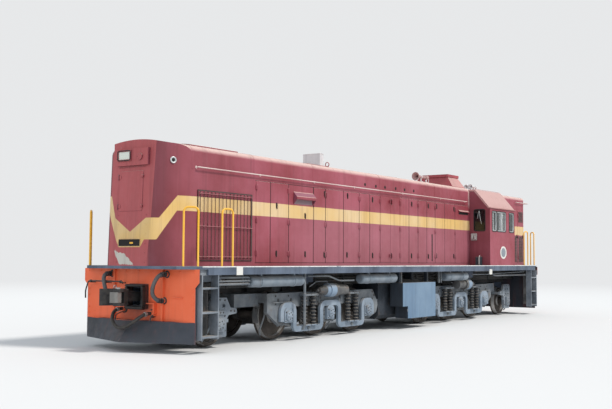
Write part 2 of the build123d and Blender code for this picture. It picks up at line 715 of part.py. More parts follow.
def fuel_tank():
    low, high = TANK_Z
    right = [(820, low), (900, low + 90), (900, high - 90), (820, high)]
    tank = prism_x(right + [(-y, z) for y, z in reversed(right)], (-TANK_HALF, TANK_HALF))
    straps = [block((x - 50, x + 50), (-850, 850), (high - 20, DECK_LOW)) for x in (-700, 700)]
    sill = block((-TANK_HALF, TANK_HALF), (CENTRE_SILL_Y[0] - 4, CENTRE_SILL_Y[1] + 4), (high - 50, DECK_LOW))
    return joined([tank] + straps) - joined(left_right(sill))


def battery_box():
    low, high = BATTERY_Z
    near, far = BATTERY_X
    outline = [(near, high), (far, high), (far, low), (near + 230, low), (near + 230, 520), (near, 520)]
    hangers = [block((x - 30, x + 30), (-1180, -1100), (high - 10, DECK_LOW)) for x in (-500, 840)]
    return left_right(joined([prism_y(outline, BATTERY_Y)] + hangers))


def air_reservoirs():
    """Three tanks under each side of the deck, each with dished ends, two bands and two hangers."""
    y, z = RESERVOIR_AT
    made = []
    for low, high in RESERVOIR_X:
        tank = rod((low, y, z), (high, y, z), RESERVOIR_RADIUS)
        pieces = [fillet(tank.edges().filter_by(GeomType.CIRCLE), 40)]
        for x in (low + 300, high - 300):
            pieces.append(rod((x - 25, y, z), (x + 25, y, z), RESERVOIR_RADIUS + 8))
            pieces.append(block((x - 25, x + 25), (y - 60, y + 60), (z + 60, DECK_LOW)))
        made += left_right(joined(pieces))
    return made


def side_steps():
    """Open step frames that hang below the deck beside each headstock."""
    near, far = STEP_X
    pieces = [block((x, x + STEP_BAR), STEP_Y, (STEP_LOW, SILL_LOW)) for x in (near, far - STEP_BAR)]
    pieces += [block(STEP_X, STEP_Y, (z, z + 30)) for z in STEP_TREADS]
    pieces.append(block(STEP_X, (STEP_Y[1], STEP_Y[1] - 20), (1180, SILL_LOW)))
    pieces.append(block(STEP_X, (STEP_Y[0] + 42, STEP_Y[1]), (SILL_LOW - 6, DECK_LOW)))
    sill = block((near - 100, far + 400), (-1375, -1335), (SILL_LOW, DECK_TOP))
    rib_x = -RIB_X[-1]
    rib = block((rib_x - RIB_HALF - 1, rib_x + RIB_HALF + 1), (-1400, 1400), (1250, DECK_TOP))
    return four(joined(pieces) - sill - rib)


def loop(first, second):
    """One inverted-U handrail between two feet on the deck."""
    top = DECK_TOP + LOOP_HIGH
    points = [(*first, DECK_TOP), (*first, top), (*second, top), (*second, DECK_TOP)]
    return pipe(points, LOOP_BEND, LOOP_RADIUS)


def corner_handrails():
    return four(loop((-7590, -1125), (-7420, -1295))) + four(loop((-6855, -1325), (-6575, -1325)))


def hood_handrails():
    y = -HOOD_HALF - RAIL_OUT
    pieces = [rod((RAIL_X[0], y, RAIL_Z), (RAIL_X[1], y, RAIL_Z), 11)]
    for x in RAIL_POSTS:
        pieces.append(rod((x, -HOOD_HALF, RAIL_Z), (x, y, RAIL_Z), 9))
        pieces.append(rod((x, -HOOD_HALF - 6, RAIL_Z), (x, -HOOD_HALF, RAIL_Z), 24))
    return left_right(joined(pieces))


# Bogies

def frame_side():
    """One side of the bogie's main frame, with jaws for the three axleboxes."""
    outline = [(FRAME_NOSE, FRAME_TOP), (FRAME_NOSE, 560), (DRIVER_X[0] - JAW_HALF - JAW_LEG, JAW_LOW)]
    for x in DRIVER_X:
        inner, outer = JAW_HALF, JAW_HALF + JAW_LEG
        if x != DRIVER_X[0]:
            outline += [(x - outer - 60, FRAME_LOW), (x - outer, JAW_LOW)]
        outline += [(x - inner, JAW_LOW), (x - inner, FRAME_LOW - 10), (x + inner, FRAME_LOW - 10)]
        outline += [(x + inner, JAW_LOW), (x + outer, JAW_LOW)]
        if x != DRIVER_X[-1]:
            outline += [(x + outer + 60, FRAME_LOW)]
    return prism_y(outline + list(FRAME_TAIL), FRAME_Y, FRAME_CORNER)


def bogie_frame():
    within = FRAME_Y[1] - 5
    pieces = []
    for x, wide in TRANSOMS:
        pieces.append(block((x - wide / 2, x + wide / 2), (-within, within), (TRANSOM_LOW, FRAME_TOP)))
    pieces.append(rod((PIVOT_X, 0, TRANSOM_LOW), (PIVOT_X, 0, BOLSTER_TOP), CENTRE_PLATE_RADIUS + 30))
    pieces += left_right(frame_side())
    pieces += left_right(block(NOSE_X, NOSE_Y, (680, FRAME_TOP)))
    reach, out = SPRING_PAD
    cap_z = (SPRING_TOP, SPRING_TOP + 40)
    for x in SPRING_X:
        pieces += left_right(block((x - reach, x + reach), (FRAME_Y[1] - 5, out), cap_z))
    pieces.append(block(TAIL_STAY[0], (-within, within), TAIL_STAY[1]))
    pieces.append(block((-5500, -5400), (-720, 720), (720, FRAME_TOP)))
    pieces.append(rod((PONY_PIVOT_X, 0, 560), (PONY_PIVOT_X, 0, 760), PONY_PIN_RADIUS))
    bore = rod((PIVOT_X, 0, 600), (PIVOT_X, 0, 1100), KINGPIN_RADIUS + RUNNING_FIT)
    return joined(pieces) - bore


def equaliser():
    """A flat bar bent up over each axlebox and down between them, swept along its own line."""
    corners = []
    bends = []
    high, low = EQUALISER_BENDS
    for x, reach in zip(DRIVER_X, EQUALISER_REACH):
        corners += [(x - reach, EQUALISER_LOW), (x - reach, EQUALISER_HIGH)]
        corners += [(x + reach, EQUALISER_HIGH), (x + reach, EQUALISER_LOW)]
        bends += [low, high, high, low]
    corners[0] = (corners[0][0], EQUALISER_TIP)
    corners[-1] = (corners[-1][0], EQUALISER_TIP)
    path = FilletPolyline(*[(x, EQUALISER_Y, z) for x, z in corners], radius=bends[1:-1])
    tall, wide = EQUALISER_BAR
    start = Plane(origin=path @ 0, x_dir=(0, 1, 0), z_dir=path % 0)
    return sweep(start * Rectangle(wide, tall), path=path)


def bogie_springing():
    """An equaliser each side, with the coil springs and seats that stand on its low spans."""
    pieces = [equaliser()]
    near = EQUALISER_Y - EQUALISER_BAR[1] / 2
    far = EQUALISER_Y + EQUALISER_BAR[1] / 2
    seat, foot_z = SEAT_Z
    reach, out = SPRING_PAD
    pitch = (SPRING_TOP - foot_z) / SPRING_TURNS
    for x in SPRING_X:
        pieces.append(block((x - reach, x + reach), (near - 10, out), (seat - 5, foot_z)))
        pieces.append(rod((x, near - 15, EQUALISER_LOW), (x, far + 20, EQUALISER_LOW), 34))
        for offset in SPRING_OFFSETS:
            foot = (x + offset, SPRING_Y)
            pieces.append(rod((*foot, foot_z - 5), (*foot, SPRING_TOP), SPRING_RADIUS * 0.62))
            for turn in range(SPRING_TURNS):
                z = foot_z + pitch * (turn + 0.5)
                pieces.append(Pos(*foot, z) * Torus(SPRING_RADIUS - SPRING_WIRE, SPRING_WIRE))
    return left_right(joined(pieces))


def axleboxes():
    made = []
    for x in DRIVER_X:
        top = EQUALISER_HIGH - EQUALISER_BAR[0] / 2
        box = block((x - JAW_HALF, x + JAW_HALF), (800, 1005), (DRIVER_Z - 130, top))
        box = fillet(box.edges().filter_by(Axis.Y).group_by(Axis.Z)[-1], AXLEBOX_SHOULDER)
        cover = rod((x, 1000, DRIVER_Z), (x, 1035, DRIVER_Z), 100)
        bore = rod((x, 700, DRIVER_Z), (x, JOURNAL_END + 4, DRIVER_Z), JOURNAL_RADIUS + RUNNING_FIT)
        made += left_right(box + cover - bore)
    return made


def brake_gear():
    """Brake cylinders on the frame and shoes hung beside the wheels."""
    y, z = CYLINDER_AT
    (tip, small), (wide, large) = CYLINDER_CONE
    cone = Cone(small, large, wide - tip, align=(Align.CENTER, Align.CENTER, Align.MIN))
    pieces = [Pos(tip, y, z) * Rot(0, 90, 0) * cone, rod((tip - 60, y, z), (tip + 5, y, z), 22)]
    for (near, far), radius in (CYLINDER_DRUM, CYLINDER_BODY):
        pieces.append(rod((near, y, z), (far, y, z), radius))
    pieces.append(block((wide + 35, far - 60), (-1030, -FRAME_Y[0] - 2), (FRAME_TOP, FRAME_TOP + 30)))
    made = left_right(joined(pieces))
    reach = DRIVER_RADIUS + 34
    inner, outer = SHOE_Y
    for x in DRIVER_X:
        tyre = rod((x, inner - 30, DRIVER_Z), (x, outer + 30, DRIVER_Z), reach - 16)
        ring = rod((x, inner, DRIVER_Z), (x, outer, DRIVER_Z), reach + 40) - tyre
        for sign in (-1, 1) if x != DRIVER_X[-1] else (-1,):
            part = block((x + sign * 200, x + sign * 600), (500, 640), (DRIVER_Z - 130, DRIVER_Z + 130))
            shoe = ring & part
            hanger_x = x + sign * (reach + 22)
            span = (hanger_x - 14, hanger_x + 14)
            hanger = block(span, (545, 595), (DRIVER_Z, 780))
            arm = block(span, (545, FRAME_Y[0]), (752, 780))
            made += left_right(joined([shoe, hanger, arm]))
    return made


def traction_motors():
    """One motor beside each driven axle, with its suspension bearings around the axle."""
    made = []
    z = DRIVER_Z
    for x, sign in zip(DRIVER_X, (1, -1, -1)):
        away = x + sign * MOTOR_REACH
        pieces = [rod((away, -380, z), (away, 380, z), MOTOR_RADIUS)]
        for y in (-250, 250):
            pieces.append(block((x, away), (y - 60, y + 60), (z - 110, z + 110)))
            pieces.append(rod((x, y - 60, z), (x, y + 60, z), 130))
        made.append(joined(pieces) - rod((x, -500, z), (x, 500, z), AXLE_RADIUS + RUNNING_FIT))
    return made


def pony_frame():
    """The guiding truck: side plates with horn guides, a stay and the tongue back to its pin."""
    outline = [
        (-6530, 880), (-6170, 880), (-6060, 700), (-5890, 680), (-5890, 590), (-6110, 570), (-6170, 490),
        (-6170, 190), (-6530, 190), (-6590, 420), (-6590, 820),
    ]
    side = prism_y(outline, (800, 860), 25)
    for x in (-6420, -6250):
        side = side - rod((x, 700, 740), (x, 1000, 740), 35)
    box = block((PONY_X - 110, PONY_X + 110), (740, 905), (PONY_Z - 120, PONY_Z + 120))
    lug = block((-6180, -6110), (810, 850), (440, 500))
    pieces = left_right(joined([side, box, lug]))
    pieces.append(block((-5950, -5890), (-860, 860), (600, 670)))
    x = PONY_PIVOT_X
    right = [(-5900, 380), (x - 60, 110), (x + 110, 110)]
    pieces.append(prism_z(right + [(a, -b) for a, b in reversed(right)], (600, 660)))
    pin_hole = rod((x, 0, 500), (x, 0, 700), PONY_PIN_RADIUS + RUNNING_FIT)
    end = PONY_JOURNAL_END + 4
    bore = rod((PONY_X, -end, PONY_Z), (PONY_X, end, PONY_Z), JOURNAL_RADIUS + RUNNING_FIT)
    return joined(pieces) - pin_hole - bore


def wheelset(x, radius, end):
    """An axle and its two wheels, turned about the axle's line."""
    back = GAUGE_BACK
    front = back + WHEEL_WIDTH
    axle = [(0, AXLE_RADIUS), (470, AXLE_RADIUS), (470, 135), (530, 150)]
    wheel = [
        (545, radius - 75), (back, radius - 62), (back, radius + 18), (back + 10, radius + 28),
        (back + 22, radius + 24), (back + 32, radius), (front, radius - 6), (front, radius - 62),
        (575, radius - 75),
    ]
    journal = [
        (580, 150), (640, 135), (640, AXLE_RADIUS), (690, AXLE_RADIUS), (690, JOURNAL_RADIUS),
        (end, JOURNAL_RADIUS),
    ]
    half = axle + wheel + journal
    outline = [(-end, 0)] + [(-y, r) for y, r in reversed(half)] + half[1:] + [(end, 0)]
    face = make_face(Polyline(*[(0, y, r) for y, r in outline], close=True))
    return Pos(x, 0, RAIL_TOP + radius) * revolve(face, Axis.Y, 360)


# Couplers

def coupler_plan(points, z, corner=0):
    """Plan points, given outward from the pulling face and sideways, as a solid at the long end."""
    return prism_z([(COUPLER_FACE_X - a, -b) for a, b in points], z, corner)


def coupler():
    """The head with its guard arm and slot for the knuckle, the shank, and the butt with its eye."""
    head = coupler_plan(
        [(-330, -110), (-170, -180), (20, -215), (20, -165), (-110, -100), (-160, -50), (-160, 60), (-30, 60),
         (-20, 150), (-60, 205), (-150, 205), (-330, 110)],
        (COUPLER_Z - HEAD_HALF, COUPLER_Z + HEAD_HALF), 14)
    slot = block((COUPLER_FACE_X - 200, COUPLER_FACE_X + 165), (-300, -10),
                 (COUPLER_Z - HEAD_SLOT_HALF, COUPLER_Z + HEAD_SLOT_HALF))
    wide, tall = SHANK_HALF
    z = (COUPLER_Z - tall, COUPLER_Z + tall)
    shank = block((COUPLER_FACE_X + 320, COUPLER_PIVOT_X - 40), (-wide, wide), z)
    butt = rod((COUPLER_PIVOT_X, 0, z[0]), (COUPLER_PIVOT_X, 0, z[1]), 90)
    eye = rod((COUPLER_PIVOT_X, 0, 700), (COUPLER_PIVOT_X, 0, 1200), COUPLER_PIN_RADIUS + RUNNING_FIT)
    return joined([head - slot, shank, butt]) - eye + knuckle_pin(COUPLER_Z, HEAD_HALF, 0)


def knuckle_pin(middle_z, half, play):
    x = COUPLER_FACE_X - KNUCKLE_PIN[0]
    y = -KNUCKLE_PIN[1]
    return rod((x, y, middle_z - half), (x, y, middle_z + half), KNUCKLE_PIN_RADIUS + play)


def knuckle():
    body = coupler_plan(
        [(0, 25), (0, 140), (-30, 180), (-110, 183), (-138, 150), (-138, 112), (-105, 88), (-70, 78),
         (-55, 25)],
        (COUPLER_Z - KNUCKLE_HALF, COUPLER_Z + KNUCKLE_HALF))
    return body - knuckle_pin(COUPLER_Z, HEAD_HALF, RUNNING_FIT)


# Cords

def cord(points, radius, label):
    """A cord's tube: straight runs joined by arcs as large as the runs allow."""
    vectors = [Vector(*point) for point in points]
    runs = [b - a for a, b in zip(vectors, vectors[1:])]
    bends = []
    for before, after in zip(runs, runs[1:]):
        turn = radians(before.get_angle(after))
        bends.append(0.45 * min(before.length, after.length) / tan(turn / 2))
    print(label, "radii", [round(bend) for bend in bends], "diameter", 2 * radius)
    return pipe(points, bends, radius)


def save_body():
    hood = long_hood()
    save("underframe", underframe())
    save("side_steps", side_steps())
    save("long_hood", hood)
    save("side_grilles", left_right(side_grille()))
    save("roof_shutters", roof_shutters(hood))
    save("radiator_fan", radiator_fan())
    save("short_hood", short_hood())
    save("cab_body", cab_body())
    save("cab_roof", cab_roof())
    save("cab_glazing", cab_glazing())
    save("cab_door_front", cab_door(CAB_X[0], -1, (REAR_WALL_DOOR_Y[1], REAR_WALL_DOOR_Y[0])))
    save("cab_door_rear", cab_door(CAB_X[1], 1, (-FRONT_WALL_DOOR_Y[1], -FRONT_WALL_DOOR_Y[0])))
    save("control_stand", control_stand())
    save("crew_seats", crew_seats())
    save("engine_block", engine_block())
    save("fuel_tank", fuel_tank())
    save("battery_box", battery_box())
    save("air_reservoirs", air_reservoirs())
    save("exhaust_stack", exhaust_stack())
    save("roof_hatch", roof_hatch())
    save("horns", horns(), hood_horn())
    save("headlamps", headlamps())
    save("corner_handrails", corner_handrails())
    save("hood_handrails", hood_handrails())
    middle = sum(DOOR_PAIR) / 2
    for side_name, side in (("right", -1), ("left", 1)):
        save(f"engine_door_{side_name}_rear", engine_door(side, DOOR_PAIR[0], middle))
        save(f"engine_door_{side_name}_front", engine_door(side, DOOR_PAIR[1], middle))


def save_ends():
    """What both ends have, built at the long hood's end and turned round for the cab end."""
    jumper = cord(JUMPER_POINTS, JUMPER_RADIUS, "jumper cable")
    shapes = {
        "headstock": headstock(), "coupler": coupler(), "knuckle": knuckle(),
        "jumper_cable_right": jumper, "jumper_cable_left": mirror(jumper, Plane.XZ),
        "brake_hose": cord(HOSE_POINTS, HOSE_RADIUS, "brake hose"),
        "bogie_frame": bogie_frame(), "bogie_springing": bogie_springing(), "axleboxes": axleboxes(),
        "brake_gear": brake_gear(), "traction_motors": traction_motors(), "pony_frame": pony_frame(),
        "pony_wheelset": wheelset(PONY_X, PONY_RADIUS, PONY_JOURNAL_END),
    }
    for number, x in enumerate(DRIVER_X, 1):
        shapes[f"driven_wheelset_{number}"] = wheelset(x, DRIVER_RADIUS, JOURNAL_END)
    for name, shape in shapes.items():
        save(f"{name}_long_end", shape)
        save(f"{name}_cab_end", [Rot(0, 0, 180) * solid for solid in solids_of(shape)])


save_body()
save_ends()
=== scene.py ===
"""Finish and fittings of a narrow gauge hood-type diesel-electric locomotive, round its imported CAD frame."""
import math

import bpy
import numpy as np
from mathutils import Matrix, Vector


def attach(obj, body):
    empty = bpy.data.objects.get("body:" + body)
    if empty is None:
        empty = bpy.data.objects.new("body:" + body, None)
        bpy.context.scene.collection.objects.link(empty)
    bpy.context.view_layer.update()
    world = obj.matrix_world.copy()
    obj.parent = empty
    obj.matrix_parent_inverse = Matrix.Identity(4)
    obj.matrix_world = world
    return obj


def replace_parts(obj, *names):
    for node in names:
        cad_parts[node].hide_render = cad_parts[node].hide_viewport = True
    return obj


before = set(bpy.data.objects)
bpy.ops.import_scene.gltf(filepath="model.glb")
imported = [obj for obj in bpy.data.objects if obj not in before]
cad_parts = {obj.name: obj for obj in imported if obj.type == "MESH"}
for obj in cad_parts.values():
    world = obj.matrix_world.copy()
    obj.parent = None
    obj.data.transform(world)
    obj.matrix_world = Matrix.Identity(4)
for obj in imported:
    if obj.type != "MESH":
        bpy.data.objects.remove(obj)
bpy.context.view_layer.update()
ROOT = "locomotive"
MIRROR = np.array((1, -1, 1))
# The cab end is the long end turned half round.
ENDS = {"long_end": np.array((1, 1, 1)), "cab_end": np.array((-1, -1, 1))}
AXES = {"x": (1, 0, 0), "-x": (-1, 0, 0), "y": (0, 1, 0), "z": (0, 0, 1)}

# Camera: the photograph's pinhole, in the frame's metres and radians.
IMAGE_WIDTH = 612
FOCAL_PIXELS = 900.18
SENSOR_MM = 36.0
CAMERA_AT = (-18.463, -11.275, 1.554)
CAMERA_YAW = 0.954745
CAMERA_PITCH = 0.061543
CAMERA_ROLL = -0.0057745

# Heights and half widths that the fittings share with the CAD body, in metres.
DECK = 1.438
SILL_UNDER = 1.389
HOOD_SIDE = 0.745
HOOD_FACE = -7.695
HOOD_EAVE, HOOD_TOP = 3.418, 3.600
CAB_SIDE = 1.345
CAB_REAR_FACE = 4.125
CAB_FRONT_FACE = 5.825
SHORT_SIDE = 0.90
SHORT_EAVE, SHORT_TOP = 3.36, 3.50
FLOOR_RADIUS = 260.0
FLOOR_DROP = 0.002
FLOOR_FADE = (14.0, 48.0)


# Node trees

class Tree:
    """A tree of shader nodes, written from its nodes, their values and their links."""

    def __init__(self, owner, empty=True):
        owner.use_nodes = True
        self.tree = owner.node_tree
        if empty:
            self.tree.nodes.clear()

    def feed(self, socket, value):
        """Gives a socket a link, a colour or a plain value."""
        if isinstance(value, bpy.types.NodeSocket):
            self.tree.links.new(value, socket)
        elif isinstance(value, tuple) and len(value) == 3 and socket.type == "RGBA":
            socket.default_value = (*value, 1)
        else:
            socket.default_value = value

    def node(self, kind, *values, **named):
        """A new node: values feed its first inputs, and each name is a setting or an input's label."""
        made = self.tree.nodes.new("ShaderNode" + kind)
        for name, value in named.items():
            if hasattr(made, name):
                setattr(made, name, value)
            else:
                self.feed(made.inputs[name], value)
        for socket, value in zip(made.inputs, values):
            self.feed(socket, value)
        return made


# Camera, floor and light

PALE = (0.80, 0.81, 0.82)
SKY = (0.86, 0.93, 1.0)
LIGHTS = (
    # name, energy, spread in degrees, colour, aim
    ("key_light", 2.6, 9.0, (1.0, 0.965, 0.91), (-0.16, 0.62, -0.77)),
    ("fill_light", 0.55, 40.0, (0.92, 0.96, 1.0), (0.85, 0.30, -0.42)),
)


def link(made):
    """Puts an object in the scene."""
    bpy.context.scene.collection.objects.link(made)
    return made


def set_camera():
    """Places the camera where the photograph was taken from: yaw from +Y towards +X, then pitch and roll."""
    level = math.cos(CAMERA_PITCH)
    forward = Vector((math.sin(CAMERA_YAW) * level, math.cos(CAMERA_YAW) * level, math.sin(CAMERA_PITCH)))
    right = forward.cross(Vector((0, 0, 1))).normalized()
    down = forward.cross(right)
    cos_roll, sin_roll = math.cos(CAMERA_ROLL), math.sin(CAMERA_ROLL)
    across = cos_roll * right + sin_roll * down
    below = -sin_roll * right + cos_roll * down
    data = bpy.data.cameras.new("photo_camera")
    data.sensor_fit = "HORIZONTAL"
    data.sensor_width = SENSOR_MM
    data.lens = FOCAL_PIXELS * SENSOR_MM / IMAGE_WIDTH
    data.clip_start, data.clip_end = 0.1, 1000.0
    camera = link(bpy.data.objects.new("photo_camera", data))
    turn = Matrix((across, -below, -forward)).transposed()
    camera.matrix_world = Matrix.Translation(CAMERA_AT) @ turn.to_4x4()
    bpy.context.scene.camera = camera


def set_light():
    """A pale surround for the camera and mirrors, an even sky, a broad key light and a weak fill light."""
    world = bpy.data.worlds.new("studio")
    bpy.context.scene.world = world
    t = Tree(world)
    sky = t.node("Background", Color=SKY, Strength=0.72)
    seen = t.node("Background", Color=PALE, Strength=1.0)
    rays = t.node("LightPath").outputs
    shown = rays["Is Camera Ray"]
    for ray in ("Is Glossy Ray", "Is Transmission Ray"):
        shown = t.node("Math", shown, rays[ray], operation="MAXIMUM").outputs[0]
    t.node("OutputWorld", t.node("MixShader", shown, sky.outputs[0], seen.outputs[0]).outputs[0])
    for name, energy, spread, colour, aim in LIGHTS:
        data = bpy.data.lights.new(name, "SUN")
        data.energy = energy
        data.angle = math.radians(spread)
        data.color = colour
        lamp = link(bpy.data.objects.new(name, data))
        lamp.rotation_mode = "QUATERNION"
        lamp.rotation_quaternion = Vector(aim).to_track_quat("-Z", "Y")


def add_floor():
    """A wide pale disc under the wheels: lit near the locomotive, and the surround's own colour far away."""
    material = bpy.data.materials.new("studio_floor")
    t = Tree(material)
    matt = t.node("BsdfDiffuse", Color=(0.70, 0.70, 0.70))
    glow = t.node("Emission", Color=PALE)
    far = t.node("VectorMath", t.node("TexCoord").outputs["Object"], operation="LENGTH").outputs["Value"]
    reach = t.node("MapRange", far, *FLOOR_FADE, interpolation_type="SMOOTHSTEP").outputs["Result"]
    t.node("OutputMaterial", t.node("MixShader", reach, matt.outputs[0], glow.outputs[0]).outputs[0])
    disc = circle_points((0, 0, -FLOOR_DROP), FLOOR_RADIUS, 96, "z")
    mesh = bpy.data.meshes.new("floor")
    mesh.from_pydata(disc.tolist(), [], [list(range(len(disc)))])
    mesh.materials.append(material)
    link(bpy.data.objects.new("floor", mesh))


# Surfaces

def unit(vectors):
    """Vectors, one in each row, at length 1."""
    return vectors / np.linalg.norm(vectors, axis=-1, keepdims=True)


def toward(axis):
    """The vector of an axis that is given by its name or as a vector."""
    return np.asarray(AXES[axis] if isinstance(axis, str) else axis, float)


def circle(count):
    """Cosine and sine at evenly spaced angles of a full turn, shaped to multiply vectors."""
    turn = np.linspace(0, 2 * math.pi, count, endpoint=False)
    return np.cos(turn)[:, None], np.sin(turn)[:, None]


def quads(rows, columns, closed=False):
    """Faces of a grid of rings: each joined to the next, and where closed is true the last to the first."""
    i = np.arange(rows if closed else rows - 1)[:, None]
    j = np.arange(columns)[None, :]
    here, after = i * columns, (i + 1) % rows * columns
    k = (j + 1) % columns
    return np.stack([here + j, here + k, after + k, after + j], -1).reshape(-1, 4)


def volume(points, faces):
    """Six times the volume inside a closed skin: the sum over the wedges from the origin to each triangle."""
    total = 0.0
    for group in faces:
        first = points[group[:, 0]]
        for k in range(1, group.shape[1] - 1):
            total += np.einsum("ij,ij->", first, np.cross(points[group[:, k]], points[group[:, k + 1]]))
    return total


class Shapes:
    """Closed skins gathered for one mesh, each turned so that its faces point outwards."""

    def __init__(self):
        self.points, self.faces, self.count = [], [], 0

    def add(self, skin_of, places=None):
        """Adds one skin, or a copy of it at each of the given 4 by 4 places, which turn and move it."""
        points, faces = skin_of
        if volume(points - points.mean(0), faces) < 0:
            faces = [group[:, ::-1] for group in faces]
        places = np.eye(4)[None] if places is None else np.asarray(places, float)
        moved = np.einsum("nij,pj->npi", places[:, :3, :3], points) + places[:, None, :3, 3]
        steps = self.count + np.arange(len(places)) * len(points)
        for group in faces:
            self.faces.append((group[None] + steps[:, None, None]).reshape(-1, group.shape[1]))
        self.points.append(moved.reshape(-1, 3))
        self.count += len(points) * len(places)
        return self

    def moved(self, change):
        """The same skins with their points changed, such as leant over or moved."""
        self.points = [change(points) for points in self.points]
        return self

    def scaled(self, scale):
        """A copy with each axis multiplied, its faces turned over where that makes a mirror image."""
        made = Shapes()
        made.points = [points * scale for points in self.points]
        made.faces = [group[:, ::-1] if np.prod(scale) < 0 else group for group in self.faces]
        made.count = self.count
        return made

    def mirrored(self):
        """The same skins and their copy on the other side of the middle line."""
        other = self.scaled(MIRROR)
        self.points += other.points
        self.faces += [group + self.count for group in other.faces]
        self.count *= 2
        return self


def skin(rings):
    """A closed skin: each ring of points joined to the next, with the first and last ring filled flat."""
    rings = np.asarray(rings, float)
    rows, columns = rings.shape[:2]
    ends = np.array([np.arange(columns)[::-1], (rows - 1) * columns + np.arange(columns)])
    return rings.reshape(-1, 3), [quads(rows, columns), ends]


def lay(flat, height, axis):
    """Flat points at a height along an axis: (y, z) across x, (x, z) across y and (x, y) across z."""
    return np.insert(np.asarray(flat, float), "xyz".index(axis), float(height), axis=1)


def extrusion(outline, low, high, axis):
    """An outline carried straight from one height along an axis to another."""
    return skin([lay(outline, low, axis), lay(outline, high, axis)])


def inset(outline, amount):
    """An outline drawn in: each corner moves along its mitre, the sum of its two inward edge normals."""
    outline = np.asarray(outline, float)
    ahead = unit(np.roll(outline, -1, 0) - outline)
    after = np.roll(outline, -1, 0)
    area = np.sum(outline[:, 0] * after[:, 1] - after[:, 0] * outline[:, 1])
    inward = np.stack([-ahead[:, 1], ahead[:, 0]], -1) * np.sign(area)
    before = np.roll(inward, 1, 0)
    return outline + (inward + before) * amount / (1 + np.sum(inward * before, 1, keepdims=True))


def plate(outline, low, high, axis, edge=0.002):
    """A flat plate of any outline between two heights, with its rims drawn in by a small edge."""
    sign = 1 if high > low else -1
    drawn = inset(outline, edge)
    return skin([lay(drawn, low, axis), lay(outline, low + sign * edge, axis),
                 lay(outline, high - sign * edge, axis), lay(drawn, high, axis)])


def rounded(a, b, radius, steps=4):
    """A rectangle's outline between two values on each axis, its corners quarter circles."""
    turn = np.linspace(0, math.pi / 2, steps + 1)
    quarter = np.stack([np.cos(turn), np.sin(turn)], -1)
    corners = []
    for k, (x, y) in enumerate(((a[1] - radius, b[1] - radius), (a[0] + radius, b[1] - radius),
                                (a[0] + radius, b[0] + radius), (a[1] - radius, b[0] + radius))):
        c, s = round(math.cos(k * math.pi / 2)), round(math.sin(k * math.pi / 2))
        corners.append(quarter @ np.array([[c, s], [-s, c]]) * radius + (x, y))
    return np.concatenate(corners)


def panel(a, b, corner, low, high, axis, edge=0.003):
    """A plate whose outline is a rectangle with rounded corners."""
    return plate(rounded(a, b, corner), low, high, axis, edge)


def rectangle(a, b):
    """A rectangle's four corners between two values on each axis."""
    return [(a[0], b[0]), (a[1], b[0]), (a[1], b[1]), (a[0], b[1])]


def box(low, high, edge=0.004):
    """A block between two corners, with softened upper and lower rims."""
    (x0, y0, z0), (x1, y1, z1) = low, high
    return plate(rectangle((x0, x1), (y0, y1)), z0, z1, "z", edge)


def frames_along(path):
    """Two unit vectors across a path at each of its points, carried along it without twist."""
    ahead = unit(np.gradient(path, axis=0))
    side = np.cross(ahead[0], AXES["z"] if abs(ahead[0][2]) < 0.9 else AXES["x"])
    sides = []
    for direction in ahead:
        side = unit(side - direction * np.dot(side, direction))
        sides.append(side)
    return np.array(sides), np.cross(ahead, sides)


def tube(path, radius, sides=8):
    """A round bar: a circle carried along a path, with one radius or one for each of its points."""
    path = np.asarray(path, float)
    first, second = frames_along(path)
    cosine, sine = circle(sides)
    radii = np.broadcast_to(radius, len(path))[:, None, None]
    return skin(path[:, None] + radii * (cosine * first[:, None] + sine * second[:, None]))


def hoop(path, radius, axis):
    """A closed round bar: a circle carried round a closed path that lies in a plane across an axis."""
    normal = toward(axis)
    first = np.cross(unit(np.roll(path, -1, 0) - np.roll(path, 1, 0)), normal)
    cosine, sine = circle(8)
    rings = path[:, None] + radius * (cosine * first[:, None] + sine * normal)
    return rings.reshape(-1, 3), [quads(len(path), 8, closed=True)]


def lathe(profile, start, axis, sides=24):
    """A turned shape: a profile of (distance along the axis, radius) points carried round the axis."""
    profile = np.asarray(profile, float)
    along = unit(toward(axis))
    path = np.asarray(start, float) + profile[:, :1] * along
    first = unit(np.cross(along, AXES["z"] if abs(along[2]) < 0.9 else AXES["x"]))
    cosine, sine = circle(sides)
    ring = cosine * first + sine * np.cross(along, first)
    return skin(path[:, None] + profile[:, 1, None, None] * ring[None])


def pin(at, length, radius, tip):
    """An upright hinge pin whose ends are drawn in to a smaller radius."""
    return lathe([(0, tip), (0.008, radius), (length - 0.008, radius), (length, tip)], at, "z", 12)


def bent(points, radius, steps=5):
    """A path through points whose corners are quadratic bends between two points near each corner."""
    points = [np.asarray(p, float) for p in points]
    made = [points[0]]
    t = np.linspace(0, 1, steps + 1)[:, None]
    for before, here, after in zip(points, points[1:], points[2:]):
        start = here + unit(before - here) * radius
        end = here + unit(after - here) * radius
        made.extend((1 - t) ** 2 * start + 2 * t * (1 - t) * here + t ** 2 * end)
    return np.array([*made, points[-1]])


def bar(points, radius, bend=0.04, sides=8):
    """A round bar through points with rounded bends."""
    return tube(bent(points, bend), radius, sides)


def row(start, end, count):
    """Evenly spaced points from start to end."""
    t = np.linspace(0, 1, count)[:, None]
    return np.asarray(start, float) * (1 - t) + np.asarray(end, float) * t


def circle_points(centre, radius, count, axis, turn=0.0):
    """Points round a circle in the plane across an axis."""
    angle = np.linspace(0, 2 * math.pi, count, endpoint=False) + turn
    flat = np.stack([np.cos(angle), np.sin(angle)], -1) * radius
    return np.asarray(centre, float) + lay(flat, 0.0, axis)


def rim(a, b, corner, height, axis, radius):
    """A bead round a rectangle with rounded corners, on a plane at a height along an axis."""
    return hoop(lay(rounded(a, b, corner), height, axis), radius, axis)


